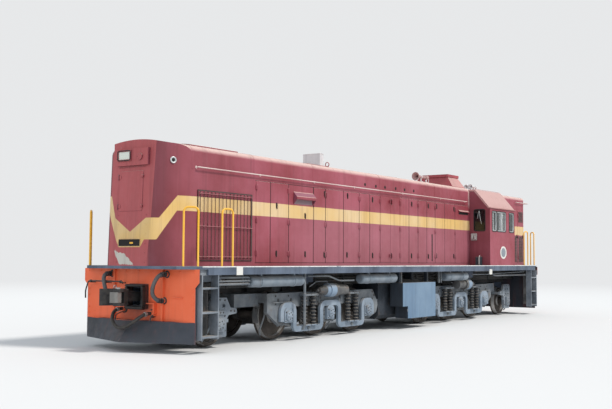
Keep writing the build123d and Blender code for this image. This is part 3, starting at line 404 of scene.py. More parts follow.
def bolts(points, axis, radius=0.012, height=0.008):
    """A hexagon bolt with a thin washer, and its places at points with its head along an axis."""
    profile = [(0, radius * 1.35), (height * 0.18, radius * 1.35), (height * 0.2, radius),
               (height * 0.8, radius), (height, radius * 0.75)]
    points = np.asarray(points, float).reshape(-1, 3)
    places = np.tile(np.eye(4), (len(points), 1, 1))
    places[:, :3, :3] = np.array(Vector(toward(axis)).to_track_quat("Z", "Y").to_matrix())
    places[:, :3, 3] = points
    return lathe(profile, (0, 0, 0), "z", 6), places


def show(name, shapes, finish, body=ROOT, crease=38):
    """Puts gathered skins into one mesh object that rides on a body."""
    points = np.concatenate(shapes.points)
    corners = np.concatenate([group.ravel() for group in shapes.faces])
    sizes = np.concatenate([np.full(len(group), group.shape[1]) for group in shapes.faces])
    mesh = bpy.data.meshes.new(name)
    mesh.vertices.add(len(points))
    mesh.vertices.foreach_set("co", points.astype(np.float32).ravel())
    mesh.loops.add(len(corners))
    mesh.loops.foreach_set("vertex_index", corners.astype(np.int32))
    mesh.polygons.add(len(sizes))
    mesh.polygons.foreach_set("loop_start", (np.cumsum(sizes) - sizes).astype(np.int32))
    mesh.update(calc_edges=True)
    mesh.shade_smooth()
    mesh.set_sharp_from_angle(angle=math.radians(crease))
    mesh.materials.append(MATERIALS[finish])
    made = link(bpy.data.objects.new(name, mesh))
    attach(made, body)
    return made


def show_both_sides(*rows):
    """Shows each (name, shapes, finish) with its copy on the other side of the middle line."""
    for name, shapes, finish in rows:
        show(name, shapes.mirrored(), finish)


def show_at_ends(body, *rows):
    """Shows each (name, shapes, finish) at the long end and, turned half round, at the cab end.

    It rides on that end's body of the given name, or on the locomotive where there is none."""
    for name, shapes, finish in rows:
        for end, scale in ENDS.items():
            show(f"{name}_{end}", shapes.scaled(scale), finish, f"{body}_{end}" if body else ROOT)


# Materials

class Recipe(Tree):
    """One procedural material: its shader's plain values, and textures on Object coordinates."""

    def __init__(self, name, colour=(0.5, 0.5, 0.5), roughness=0.5, metallic=0.0, **values):
        self.material = bpy.data.materials.new(name)
        super().__init__(self.material, empty=False)
        self.shader = self.tree.nodes["Principled BSDF"].inputs
        values.update({"Base Color": colour, "Roughness": roughness, "Metallic": metallic})
        for label, value in values.items():
            self.feed(self.shader[label], value)
        self.place = self.node("TexCoord").outputs["Object"]
        self.readings = {}

    def read(self, reading):
        """A measure of the place on the object.

        It is x, y or z, or nx, ny or nz for how far the surface faces that way. With bars, such as |x|, it is
        the measure's size, and a pair such as ("x", 2.0) is the distance from that value of it."""
        if not isinstance(reading, (str, tuple)):
            return reading
        if reading not in self.readings:
            if isinstance(reading, tuple):
                made = self.sum("ABSOLUTE", self.sum("SUBTRACT", *reading))
            elif reading.startswith("|"):
                made = self.sum("ABSOLUTE", reading.strip("|"))
            else:
                place = self.node("NewGeometry").outputs["Normal"] if reading.startswith("n") else self.place
                made = self.node("SeparateXYZ", place).outputs["xyz".index(reading[-1])]
            self.readings[reading] = made
        return self.readings[reading]

    def sum(self, operation, *values):
        """A sum of readings or values, such as ADD, MULTIPLY, MAXIMUM or GREATER_THAN."""
        return self.node("Math", *map(self.read, values), operation=operation).outputs[0]

    def times(self, first, *others):
        """The product of all values."""
        for other in others:
            first = self.sum("MULTIPLY", first, other)
        return first

    def slope(self, value, start, end, low=0.0, high=1.0):
        """A value carried from one range to another and held at its ends."""
        return self.node("MapRange", self.read(value), start, end, low, high).outputs["Result"]

    def grain(self, scale, stretch=(1, 1, 1), detail=4.0, rough=0.55, shift=(0, 0, 0)):
        """Noise from 0 to 1, drawn out along the axes whose stretch is small."""
        mapped = self.node("Mapping", Vector=self.place, Scale=stretch, Location=shift).outputs[0]
        noise = self.node("TexNoise", Vector=mapped, Scale=scale, Detail=detail, Roughness=rough)
        return noise.outputs["Fac"]

    def blend(self, amount, first, second):
        """Two colours mixed by an amount."""
        made = self.node("Mix", data_type="RGBA", clamp_factor=True)
        for socket, value in ((0, amount), (6, first), (7, second)):
            self.feed(made.inputs[socket], value)
        return made.outputs[2]

    def clouds(self, first, second, scale=0.9, low=0.35, high=0.68, detail=3.0, rough=0.55):
        """Two colours mixed in soft clouds."""
        return self.blend(self.slope(self.grain(scale, detail=detail, rough=rough), low, high), first, second)

    def tint(self, base, colour, strength, *limits):
        """A colour over the base where all limits hold: (reading, where it is 0, where it is 1)."""
        return self.blend(self.times(*(self.slope(*limit) for limit in limits), strength), base, colour)

    def tinted(self, base, shades):
        """The base with each row of (colour, strength, limits) laid over it in turn."""
        for shade in shades:
            base = self.tint(base, *shade)
        return base

    def finish(self, colour, roughness=None, height=None, depth=0.0, strength=1.0):
        """Gives the shader its colour and, where they are given, its roughness and a bump of that depth."""
        self.feed(self.shader["Base Color"], colour)
        if roughness is not None:
            self.feed(self.shader["Roughness"], roughness)
        if height is not None:
            bump = self.node("Bump", Distance=depth, Strength=strength, Height=height)
            self.feed(self.shader["Normal"], bump.outputs[0])
        return self.material


RUST = (0.17, 0.065, 0.03)
DUST = (0.42, 0.36, 0.29)
GRIME = (0.035, 0.032, 0.032)
MAROON = (0.235, 0.032, 0.045)
MAROON_FADED = (0.345, 0.078, 0.110)
# Pale tops: bleached paint with a painted highlight.
MAROON_BLEACHED_AND_LIT = (0.66, 0.445, 0.410)
STRIPE = (0.66, 0.425, 0.140)
STRIPE_FADED = (0.68, 0.505, 0.290)
RUBBER = (0.018, 0.018, 0.019)
PRIMER = (0.52, 0.50, 0.44)
SLATE = (0.045, 0.062, 0.096)
SLATE_DUSTY = (0.120, 0.156, 0.215)
STRIPE_MIDDLE = 0.035
STRIPE_EDGES = (
    # height on the sides, the V's heights, their distances, and where the climb starts and ends: right, left
    (2.645, (2.020, 2.255), (0.000, 0.365), (0.605, 1.045), (0.370, 0.490)),
    (2.385, (1.760, 1.888), (0.253, 0.341), (0.553, 1.032), (0.335, 0.552)),
)
HOOD_SHADES = (
    # painted light on the long end's face, painted shade on its corners, its darker sides, a lighter lower
    # side, and a painted highlight with bleaching on a strip beside the cab
    ((0.430, 0.092, 0.092), 0.75, ("x", -7.585, -7.615), ("nx", -0.90, -0.97)),
    ((0.070, 0.010, 0.018), 0.58, ("x", -7.20, -7.50), ("nx", -0.985, -0.93)),
    ((0.075, 0.012, 0.010), 0.22, ("x", -4.6, -6.2), ("x", -7.45, -7.20)),
    ((0.410, 0.180, 0.225), 0.32, ("x", -4.8, -3.0), ("z", 2.75, 2.35)),
    (MAROON_BLEACHED_AND_LIT, 0.85, ("x", 4.030, 4.060), ("x", 4.20, 4.19), ("z", 2.95, 3.10)),
)
INTAKE_VISOR_SHADE = (
    ((0.215, 0.060, 0.100), 0.85, ("|y|", 0.757, 0.760), ("|y|", 0.820, 0.816), (("x", -3.68), 0.350, 0.346),
     (("z", 2.785), 0.145, 0.140)),
)
CAB_REAR_SHADE = (((0.060, 0.008, 0.014), 0.35, ("x", 4.14, 4.13)),)
# Bleaching and a painted highlight on the hatch's faces that lean to the sides.
HATCH_SIDE_BLEACH_AND_HIGHLIGHT = ((MAROON_BLEACHED_AND_LIT, 0.45, ("|ny|", 0.35, 0.45), ("nz", 0.10, 0.20)),)
# Painted shade: the coils between the spring seats are nearly black.
COIL_PAINTED_SHADE = tuple(((0.016, 0.016, 0.018), 0.94, (("|x|", middle), 0.235, 0.225), ("z", 0.290, 0.294),
                     ("z", 0.852, 0.848)) for middle in (3.84, 2.26))
BRAKE_COLLAR_SHADE = (
    ((0.215, 0.290, 0.385), 1.0, ("|x|", 3.11, 3.12), ("|x|", 3.40, 3.39), ("|y|", 0.98, 0.99),
     ("z", 0.80, 0.82)),
)


def stripe_mask(r):
    """The yellow band: level along the sides, and a V on the long end that steps down round the corners.

    Its edges are heights over t = |y - middle| + max(0, x + 7.6), which grows round the nose's corner."""
    off_middle = r.sum("SUBTRACT", "y", STRIPE_MIDDLE)
    on_left = r.slope(off_middle, 0.0, 0.02)
    t = r.sum("ADD", r.sum("ABSOLUTE", off_middle), r.sum("MAXIMUM", r.sum("ADD", "x", 7.60), 0.0))
    wave = r.times(r.grain(2.4, detail=2.0), 0.010)
    height = r.sum("ADD", r.sum("ADD", "z", wave), r.slope("x", 5.85, 5.90, 0.0, 0.055))
    upper, lower = (
        r.sum("ADD", r.slope(t, *v_at, *v_z),
              r.slope(t, *(r.slope(on_left, 0, 1, *ends) for ends in zip(right, left)), 0.0, side_z - v_z[1]))
        for side_z, v_z, v_at, right, left in STRIPE_EDGES)
    return r.times(r.slope(r.sum("SUBTRACT", upper, height), -0.003, 0.003),
                   r.slope(r.sum("SUBTRACT", height, lower), -0.003, 0.003))


def peeled_mask(r):
    """Bare primer low on the long end's face: inside four lines over y and z, their edges torn by noise."""
    torn = r.times(r.sum("SUBTRACT", r.grain(9.0, detail=6.0, rough=0.72), 0.5), 0.16)
    z = r.sum("ADD", "z", torn)
    inside = r.sum("SUBTRACT", z, 1.455)
    for along, gain, start, other in ((z, 0.58, -0.575, "y"), ("y", 0.14, 1.628, z), ("y", 0.89, 1.527, z)):
        line = r.sum("MULTIPLY_ADD", along, gain, start)
        inside = r.sum("MINIMUM", inside, r.sum("SUBTRACT", line, other))
    return r.times(r.slope(inside, -0.002, 0.003), r.slope("x", -7.60, -7.62))


def weathered(r, base, paint, faded, rust=0.3, streaks=0.35, dust=0.2, roughness=0.55, chip=0.70, top=None,
              shades=()):
    """Tops bleached and brightened by a painted highlight, rain streaks, dust that lies on ledges and rusty
    chips over a base colour.
    """
    fine = r.grain(9.0, detail=6.0, rough=0.65)
    # Bleached paint and a painted highlight on faces that look up, high on the body.
    if top:
        lit = r.sum("MULTIPLY_ADD", fine, 0.18, "nz")
        base = r.tint(base, top, 1.0, (lit, 0.22, 0.80), ("z", 2.70, 3.20, 0.40, 1.0))
    rain = r.grain(5.5, stretch=(1.6, 1.6, 0.07), detail=5.0, rough=0.7)
    base = r.tint(base, tuple(0.45 * c + 0.008 for c in paint), streaks, (rain, 0.50, 0.74))
    pale = r.grain(7.0, stretch=(1.3, 1.3, 0.05), rough=0.6, shift=(3.1, 1.7, 0))
    base = r.tint(base, tuple(min(1.0, 1.25 * c + 0.10) for c in faded), streaks * 0.45, (pale, 0.58, 0.80))
    lying = r.sum("MULTIPLY_ADD", fine, 0.5, "nz")
    base = r.tint(base, DUST, dust * 1.6, (lying, 0.55, 1.25))
    chips = r.slope(r.grain(26.0, detail=9.0, rough=0.68), chip, chip + 0.04)
    patch = r.grain(1.7, detail=2.0, shift=(7.0, 0, 2.0))
    base = r.tint(base, RUST, rust * 3.0, (chips, 0.0, 1.0), (patch, 0.48, 0.62))
    rough = r.slope(fine, 0.3, 0.7, roughness - 0.08, min(1.0, roughness + 0.16))
    height = r.sum("ADD", fine, r.times(chips, -0.5))
    return r.finish(r.tinted(base, shades), rough, height, 0.0012, 0.6)


def painted(name, paint, faded, stripe=False, before=(), **wear):
    """Old outdoor paint faded in clouds, with shades laid under its weather.

    Where stripe is true it has the yellow band and the bare patch."""
    r = Recipe(name)
    base = r.tinted(r.clouds(paint, faded), before)
    if stripe:
        base = r.blend(stripe_mask(r), base, r.clouds(STRIPE, STRIPE_FADED))
        base = r.blend(peeled_mask(r), base, PRIMER)
    return weathered(r, base, paint, faded, **wear)


def headstock_paint():
    """Orange plate above a slate pilot with a wavy paint line, painted shade in the coupler's pocket, and soot
    round the coupler and the hoses.
    """
    orange, faded = (0.80, 0.120, 0.036), (0.84, 0.165, 0.066)
    r = Recipe("headstock_paint")
    slate = r.clouds((0.016, 0.021, 0.030), (0.044, 0.053, 0.072), 1.1)
    line = r.sum("ADD", "z", r.times(r.grain(1.6, detail=3.0), 0.05))
    outside = ("|x|", 7.466, 7.470)
    base = r.tint(slate, r.clouds(orange, faded, 1.1), 1.0, (line, 0.538, 0.546), outside)
    # Painted shade: the plate inside the striker's frame, in the coupler's pocket, is nearly black.
    base = r.tint(base, (0.022, 0.022, 0.024), 0.94, ("|y|", 0.245, 0.225), ("z", 0.690, 0.715),
                  ("z", 1.140, 1.125))
    across = r.times("y", 1.6)
    up = r.times(r.sum("SUBTRACT", "z", 0.72), 1.9)
    far = r.sum("ADD", r.times(across, across), r.times(up, up))
    ragged = r.sum("ADD", far, r.times(r.grain(4.0, stretch=(1, 1.4, 0.4), detail=6.0), 0.9))
    base = r.tint(base, GRIME, 0.72, (ragged, 1.0, 0.25))
    return weathered(r, base, orange, faded, rust=0.35, streaks=0.30, dust=0.15, roughness=0.5, chip=0.69,
                     shades=((slate, 0.75, (line, 0.546, 0.538), outside),))


def underframe_paint():
    """Slate blue frame with a worn white line along the deck's edge."""
    r = Recipe("underframe_paint")
    edge = r.times(r.sum("GREATER_THAN", "z", 1.4235), r.sum("GREATER_THAN", "|y|", 1.3745))
    worn = r.grain(6.0, stretch=(0.5, 1, 1), detail=5.0)
    base = r.clouds(SLATE, SLATE_DUSTY, 1.4, 0.33, 0.68, detail=4.0)
    base = r.tint(base, (0.80, 0.80, 0.78), 1.0, (edge, 0.0, 1.0), (worn, 0.30, 0.42))
    return weathered(r, base, SLATE, SLATE_DUSTY, rust=0.25, streaks=0.40, dust=0.35, roughness=0.62)


def box_paint():
    """The equipment box: pale blue doors, outermost on each side, and nearly black on its other faces."""
    pale, faded = (0.105, 0.180, 0.280), (0.165, 0.250, 0.350)
    r = Recipe("box_paint")
    base = r.tint(r.clouds((0.010, 0.015, 0.024), (0.030, 0.038, 0.052)), r.clouds(pale, faded), 1.0,
                  ("|y|", 1.3215, 1.3225))
    return weathered(r, base, pale, faded, rust=0.25, streaks=0.5, dust=0.3)


def running_gear(name, paint, dusty, oil=0.4, rust=0.5, shades=()):
    """Grey running gear with dark oil in patches, rust and dust on what faces up."""
    r = Recipe(name)
    base = r.tinted(r.clouds(paint, dusty, 2.6, 0.32, 0.66, detail=5.0, rough=0.6), shades)
    oily = r.grain(2.1, stretch=(1, 1, 0.6), detail=5.0, rough=0.62, shift=(2.0, 5.0, 1.0))
    base = r.tint(base, GRIME, oil, (oily, 0.52, 0.66))
    rusty = r.grain(5.0, detail=7.0, rough=0.7, shift=(4.0, 1.0, 6.0))
    base = r.tint(base, (0.15, 0.085, 0.05), rust, (rusty, 0.56, 0.68))
    fine = r.grain(16.0, detail=6.0, rough=0.65)
    base = r.tint(base, DUST, 0.55, (r.sum("MULTIPLY_ADD", fine, 0.5, "nz"), 0.55, 1.3))
    return r.finish(base, r.slope(fine, 0.3, 0.7, 0.52, 0.86), fine, 0.0015, 0.7)


def wheel_metal():
    """Rusty wheel faces with dust, and a bright tread: the rim's faces that look away from the axle."""
    r = Recipe("wheel_metal", metallic=0.35)
    fine = r.grain(22.0, detail=6.0, rough=0.65)
    base = r.clouds((0.045, 0.038, 0.034), (0.125, 0.105, 0.090), 3.0, 0.3, 0.7, detail=5.0)
    bright = r.times(r.sum("LESS_THAN", ("|y|", 0.578), 0.044), r.sum("LESS_THAN", "|ny|", 0.35))
    rough = r.sum("SUBTRACT", r.slope(fine, 0.3, 0.7, 0.55, 0.85), r.times(bright, 0.35))
    return r.finish(r.blend(bright, base, (0.46, 0.45, 0.44)), rough, fine, 0.001, 0.5)


def plain(name, colour, roughness=0.5, metallic=0.0, grain=0.0, **values):
    """One colour, with light mottling and small roughness changes where grain is above 0."""
    r = Recipe(name, colour, roughness, metallic, **values)
    if not grain:
        return r.material
    fine = r.grain(14.0, detail=6.0, rough=0.65)
    dirty = tuple(c * (1 - grain) + d * grain * 0.5 for c, d in zip(colour, DUST))
    rough = r.slope(fine, 0.3, 0.7, max(0.05, roughness - 0.1), min(1.0, roughness + 0.15))
    return r.finish(r.blend(r.slope(fine, 0.35, 0.70), colour, dirty), rough, fine, 0.0008, 0.5)


def cab_glass():
    """Window glass: nearly black in the end windows, a painted shade, with pale upright bands of painted light
    in the side ones.
    """
    r = Recipe("cab_glass", roughness=0.05, **{"Transmission Weight": 0.82})
    bands = r.slope(r.grain(1.0, stretch=(8.5, 0.01, 0.15), detail=3.0, shift=(2.7, 0, 0)), 0.43, 0.52)
    # Painted light: pale upright bands in the side windows, over a dark glass of painted shade.
    painted_light_bands = r.blend(bands, (0.070, 0.095, 0.098), (0.86, 0.90, 0.90))
    return r.finish(r.blend(r.slope("|ny|", 0.4, 0.6), (0.022, 0.027, 0.029), painted_light_bands))


MATERIALS = {
    "hood": painted("hood_paint", MAROON, MAROON_FADED, True, HOOD_SHADES, top=MAROON_BLEACHED_AND_LIT,
                    shades=INTAKE_VISOR_SHADE),
    "cab": painted("cab_paint", MAROON, MAROON_FADED, before=CAB_REAR_SHADE, streaks=0.25),
    "roof": painted("roof_paint", (0.40, 0.19, 0.18), (0.50, 0.29, 0.28), streaks=0.2, top=(0.51, 0.30, 0.29),
                    roughness=0.7),
    "hatch": painted("hatch_paint", MAROON, (0.40, 0.070, 0.085), before=HATCH_SIDE_BLEACH_AND_HIGHLIGHT, streaks=0.25),
    "roof_plate": painted("roof_plate_paint", MAROON, MAROON_FADED, top=MAROON_BLEACHED_AND_LIT),
    "stack": painted("stack_paint", (0.56, 0.55, 0.57), (0.70, 0.67, 0.67), rust=0.4, streaks=0.4),
    "horn": painted("horn_paint", (0.62, 0.62, 0.64), (0.78, 0.76, 0.76), streaks=0.2),
    "bell": painted("bell_paint", (0.38, 0.20, 0.20), (0.46, 0.31, 0.30), rust=0.4),
    "yellow": painted("loop_paint", (0.84, 0.42, 0.025), (0.86, 0.52, 0.09), rust=0.45, streaks=0.15,
                      dust=0.1, roughness=0.42, chip=0.66),
    "rail": painted("rail_paint", (0.56, 0.38, 0.36), (0.70, 0.58, 0.55), rust=0.5, streaks=0.1, chip=0.62),
    "headstock": headstock_paint(),
    "frame": underframe_paint(),
    "box": box_paint(),
    "step": running_gear("step_paint", (0.115, 0.138, 0.170), (0.255, 0.280, 0.310), oil=0.25, rust=0.25),
    "bogie": running_gear("bogie_paint", (0.078, 0.096, 0.120), (0.205, 0.222, 0.235), oil=0.45),
    "brake": running_gear("brake_paint", (0.060, 0.066, 0.074), (0.150, 0.148, 0.145),
                          shades=BRAKE_COLLAR_SHADE),
    "pony": running_gear("pony_paint", (0.120, 0.148, 0.185), (0.260, 0.290, 0.320), oil=0.35, rust=0.3),
    "spring": running_gear("spring_paint", (0.15, 0.195, 0.25), (0.27, 0.325, 0.39), oil=0.2, rust=0.3,
                           shades=COIL_PAINTED_SHADE),
    # Also the dark trays under the deck and the plates behind the steps, which are painted shade.
    "dark_steel": running_gear("dark_gear_paint_and_shade", (0.018, 0.019, 0.021), (0.055, 0.055, 0.055), oil=0.5),
    "motor": running_gear("motor_paint", (0.030, 0.032, 0.036), (0.095, 0.092, 0.088), oil=0.6),
    "tank": running_gear("tank_paint", (0.012, 0.017, 0.026), (0.036, 0.046, 0.060), oil=0.3, rust=0.25),
    "reservoir": running_gear("reservoir_paint", (0.130, 0.165, 0.205), (0.250, 0.290, 0.330), oil=0.3,
                              rust=0.35),
    "wheel": wheel_metal(),
    "glass": cab_glass(),
    "coupler": plain("coupler_iron", (0.017, 0.018, 0.021), 0.52, 0.40, 0.20),
    "knuckle": plain("knuckle_iron", (0.200, 0.198, 0.188), 0.52, 0.45, 0.25),
    "shutter": plain("shutter_steel", (0.075, 0.070, 0.072), 0.6, 0.3, 0.3),
    "mesh": plain("intake_mesh", (0.300, 0.190, 0.220), 0.7, 0.0, 0.3),
    "fixture": plain("fixture_grey", (0.42, 0.385, 0.375), 0.6, 0.0, 0.4),
    "engine": plain("engine_paint", (0.14, 0.16, 0.17), 0.5, 0.1, 0.3),
    "desk": plain("desk_paint", (0.22, 0.25, 0.25), 0.5, 0.0, 0.2),
    "seat": plain("seat_vinyl", (0.035, 0.028, 0.024), 0.45, 0.0, 0.2),
    "rubber": plain("hose_rubber", RUBBER, 0.62, 0.0, 0.25),
    "sleeve": plain("jumper_sleeve", (0.062, 0.070, 0.080), 0.45, 0.0, 0.35),
    "seal": plain("window_seal", RUBBER, 0.75),
    # Dark joints, and painted shade in recesses, slots, holes and openings.
    "dark": plain("dark_gap", (0.010, 0.009, 0.010), 0.9),
    # Latches and grille bars, and also the grilles' lines of painted shadow and the short hood's louvres,
    # nearly black as painted shade.
    "latch": plain("latch_iron_and_shadow", (0.045, 0.022, 0.024), 0.55, 0.2, 0.3),
    "silver": plain("aluminium", (0.62, 0.64, 0.65), 0.34, 0.85, 0.1),
    "bright": plain("worn_steel", (0.40, 0.40, 0.40), 0.38, 0.8, 0.25),
    "white": plain("white_paint", (0.70, 0.69, 0.65), 0.5, 0.0, 0.15),
    "badge": plain("badge_grey", (0.22, 0.25, 0.29), 0.45, 0.1, 0.15),
    "lens": plain("lamp_lens", (0.66, 0.70, 0.62), 0.16, **{"Coat Weight": 0.6}),
}
# Which CAD nodes each finish is for, by the start of their names.
NODE_FINISHES = {
    "hood": ("long_hood", "short_hood", "side_grilles", "headlamps", "engine_door"),
    "cab": ("cab_body", "cab_door"), "roof": ("cab_roof",), "glass": ("cab_glazing",),
    "hatch": ("roof_hatch",),
    "frame": ("underframe",), "step": ("side_steps",), "shutter": ("roof_shutters", "radiator_fan"),
    "desk": ("control_stand",), "seat": ("crew_seats",), "engine": ("engine_block",), "tank": ("fuel_tank",),
    "box": ("battery_box",), "reservoir": ("air_reservoirs",), "stack": ("exhaust_stack",),
    "horn": ("horns",),
    "yellow": ("corner_handrails",), "rail": ("hood_handrails",), "headstock": ("headstock",),
    "coupler": ("coupler",), "knuckle": ("knuckle",), "bogie": ("bogie_frame",),
    "spring": ("bogie_springing", "axleboxes"), "brake": ("brake_gear",), "motor": ("traction_motors",),
    "pony": ("pony_frame",), "wheel": ("driven_wheelset", "pony_wheelset"),
    "rubber": ("jumper_cable", "brake_hose"),
}


def paint_nodes():
    """Gives every CAD node its finish: the node's mesh stays, and only its material slots change."""
    for name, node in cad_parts.items():
        finish = next(finish for finish, starts in NODE_FINISHES.items() if name.startswith(starts))
        for place in node.material_slots:
            place.link = "OBJECT"
            place.material = MATERIALS[finish]


# Jumper cables and brake hoses

JUMPER_DIAMETER = 0.032
HOSE_DIAMETER = 0.060
SLEEVE_THICKNESS = 0.018
JUMPER_POINTS = np.array((
    (-7.535, -0.660, 1.300), (-7.598, -0.660, 1.300), (-7.660, -0.652, 1.278), (-7.703, -0.634, 1.228),
    (-7.722, -0.606, 1.162), (-7.727, -0.578, 1.092), (-7.722, -0.560, 1.020), (-7.704, -0.562, 0.952),
    (-7.662, -0.580, 0.895), (-7.600, -0.600, 0.860), (-7.535, -0.600, 0.860),
))
HOSE_POINTS = np.array((
    (-7.535, 0.340, 0.700), (-7.640, 0.340, 0.700), (-7.742, 0.335, 0.648), (-7.808, 0.298, 0.540),
    (-7.832, 0.212, 0.435), (-7.838, 0.080, 0.388), (-7.832, -0.070, 0.420), (-7.808, -0.208, 0.495),
    (-7.742, -0.315, 0.590), (-7.640, -0.340, 0.640), (-7.535, -0.340, 0.640),
))


def cord_curve(name, points, depth):
    """A smooth curve with the route's points as control points, round where depth is above 0."""
    data = bpy.data.curves.new(name, "CURVE")
    data.dimensions = "3D"
    data.bevel_depth = depth
    data.bevel_resolution = 5
    data.resolution_u = 12
    data.use_fill_caps = depth > 0
    line = data.splines.new("NURBS")
    line.points.add(len(points) - 1)
    line.points.foreach_set("co", np.hstack([points, np.ones((len(points), 1))]).ravel())
    line.order_u = 3
    line.use_endpoint_u = True
    return bpy.data.objects.new(name, data)


def cord_line(name, points):
    """Points along a cord's middle, read from its own curve."""
    bare = cord_curve(f"{name}_line", points, 0.0)
    mesh = bpy.data.meshes.new_from_object(bare)
    line = np.empty(len(mesh.vertices) * 3)
    mesh.vertices.foreach_get("co", line)
    bpy.data.meshes.remove(mesh)
    curve = bare.data
    bpy.data.objects.remove(bare)
    bpy.data.curves.remove(curve)
    return line.reshape(-1, 3)


def sleeve(path, radius, rib, pitch=0.016):
    """A ribbed sleeve: its radius is radius + rib |sin(pi s / pitch)|, with s the length along the cord."""
    gaps = np.linalg.norm(np.diff(path, axis=0), axis=1)
    along = np.concatenate([[0], np.cumsum(gaps)])
    s = np.linspace(0, along[-1], max(8, int(along[-1] / pitch) * 4))
    fine = np.stack([np.interp(s, along, path[:, k]) for k in range(3)], -1)
    return tube(fine, radius + rib * np.abs(np.sin(math.pi * s / pitch)), 14)


def add_cord(name, points, diameter, sleeved):
    """One rubber cord through its points, with a clamp near each end and, if sleeved, a ribbed sleeve."""
    made = link(cord_curve(f"{name}_cord", points, diameter / 2))
    made.data.materials.append(MATERIALS["rubber"])
    line = cord_line(name, points)
    count = len(line)
    radius = diameter / 2 + (SLEEVE_THICKNESS if sleeved else 0.0)
    clamps, pieces = Shapes(), []
    for part in (0.07, 0.93):
        here, after = line[int(count * part)], line[int(count * part) + 1]
        profile = [(-0.024, radius + 0.002), (-0.021, radius + 0.009), (0.021, radius + 0.009),
                   (0.024, radius + 0.002)]
        clamps.add(lathe(profile, here, after - here))
    if sleeved:
        ribbed = Shapes().add(sleeve(line[int(count * 0.08):int(count * 0.92)], radius - 0.002, 0.004))
        pieces.append(show(f"{name}_sleeve", ribbed, "sleeve", crease=80))
    pieces.append(show(f"{name}_clamps", clamps, "dark_steel" if sleeved else "bright"))
    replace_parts(made, name)
    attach(made, ROOT)


def add_cords():
    """Two jumper cables and one brake hose at each end."""
    for end, scale in ENDS.items():
        for side, mirror in (("right", 1), ("left", MIRROR)):
            add_cord(f"jumper_cable_{side}_{end}", JUMPER_POINTS * mirror * scale, JUMPER_DIAMETER,
                     True)
        add_cord(f"brake_hose_{end}", HOSE_POINTS * scale, HOSE_DIAMETER, False)


# The long hood

PANEL_SPANS = (
    (-5.22, -4.79), (-4.77, -4.20), (-4.18, -3.34), (-3.32, -2.90), (-2.88, -2.21), (-2.19, -1.57),
    (-1.55, -1.12), (-1.10, -0.665), (0.275, 0.70), (0.72, 1.16), (1.18, 1.62), (1.64, 2.07), (2.09, 2.61),
    (2.63, 3.21), (3.23, 4.06),
)
PANEL_Z = (1.50, 3.04)
PANEL_FACE = HOOD_SIDE + 0.008
INTAKE_X = (-4.02, -3.34)
INTAKE_DOOR_TOP = 2.62
LATCH_AT = (
    (-4.585, 2.610), (-4.587, 1.685), (-3.630, 2.454), (-3.626, 1.683), (-2.932, 2.944), (-2.940, 1.676),
    (-2.045, 2.960), (-2.062, 1.684), (-1.000, 2.936), (-0.995, 1.679), (0.840, 2.936), (0.825, 1.682),
    (1.700, 2.936), (1.700, 1.675), (2.155, 2.949), (2.140, 1.692), (3.150, 2.927), (3.130, 1.690),
)
ROUND_HOLES_AT = ((-1.308, 3.248), (-0.836, 3.241), (-0.422, 3.246), (0.075, 3.250), (0.505, 3.249),
                  (0.965, 3.253))
HINGE_Z = (1.62, 2.24, 2.86)
HINGE_LENGTH = 0.11


def recess(a, b, corner, face=PANEL_FACE):
    """A dark plate just proud of a side face: painted shade that reads as a recess."""
    return panel(a, b, corner, face - 0.001, face + 0.0015, "y", 0.0005)


def strip(x, z, out=0.0015):
    """A thin block on the hood's side between two values of x and of z."""
    return box((x[0], HOOD_SIDE - 0.001, z[0]), (x[1], HOOD_SIDE + out, z[1]), 0.0005)


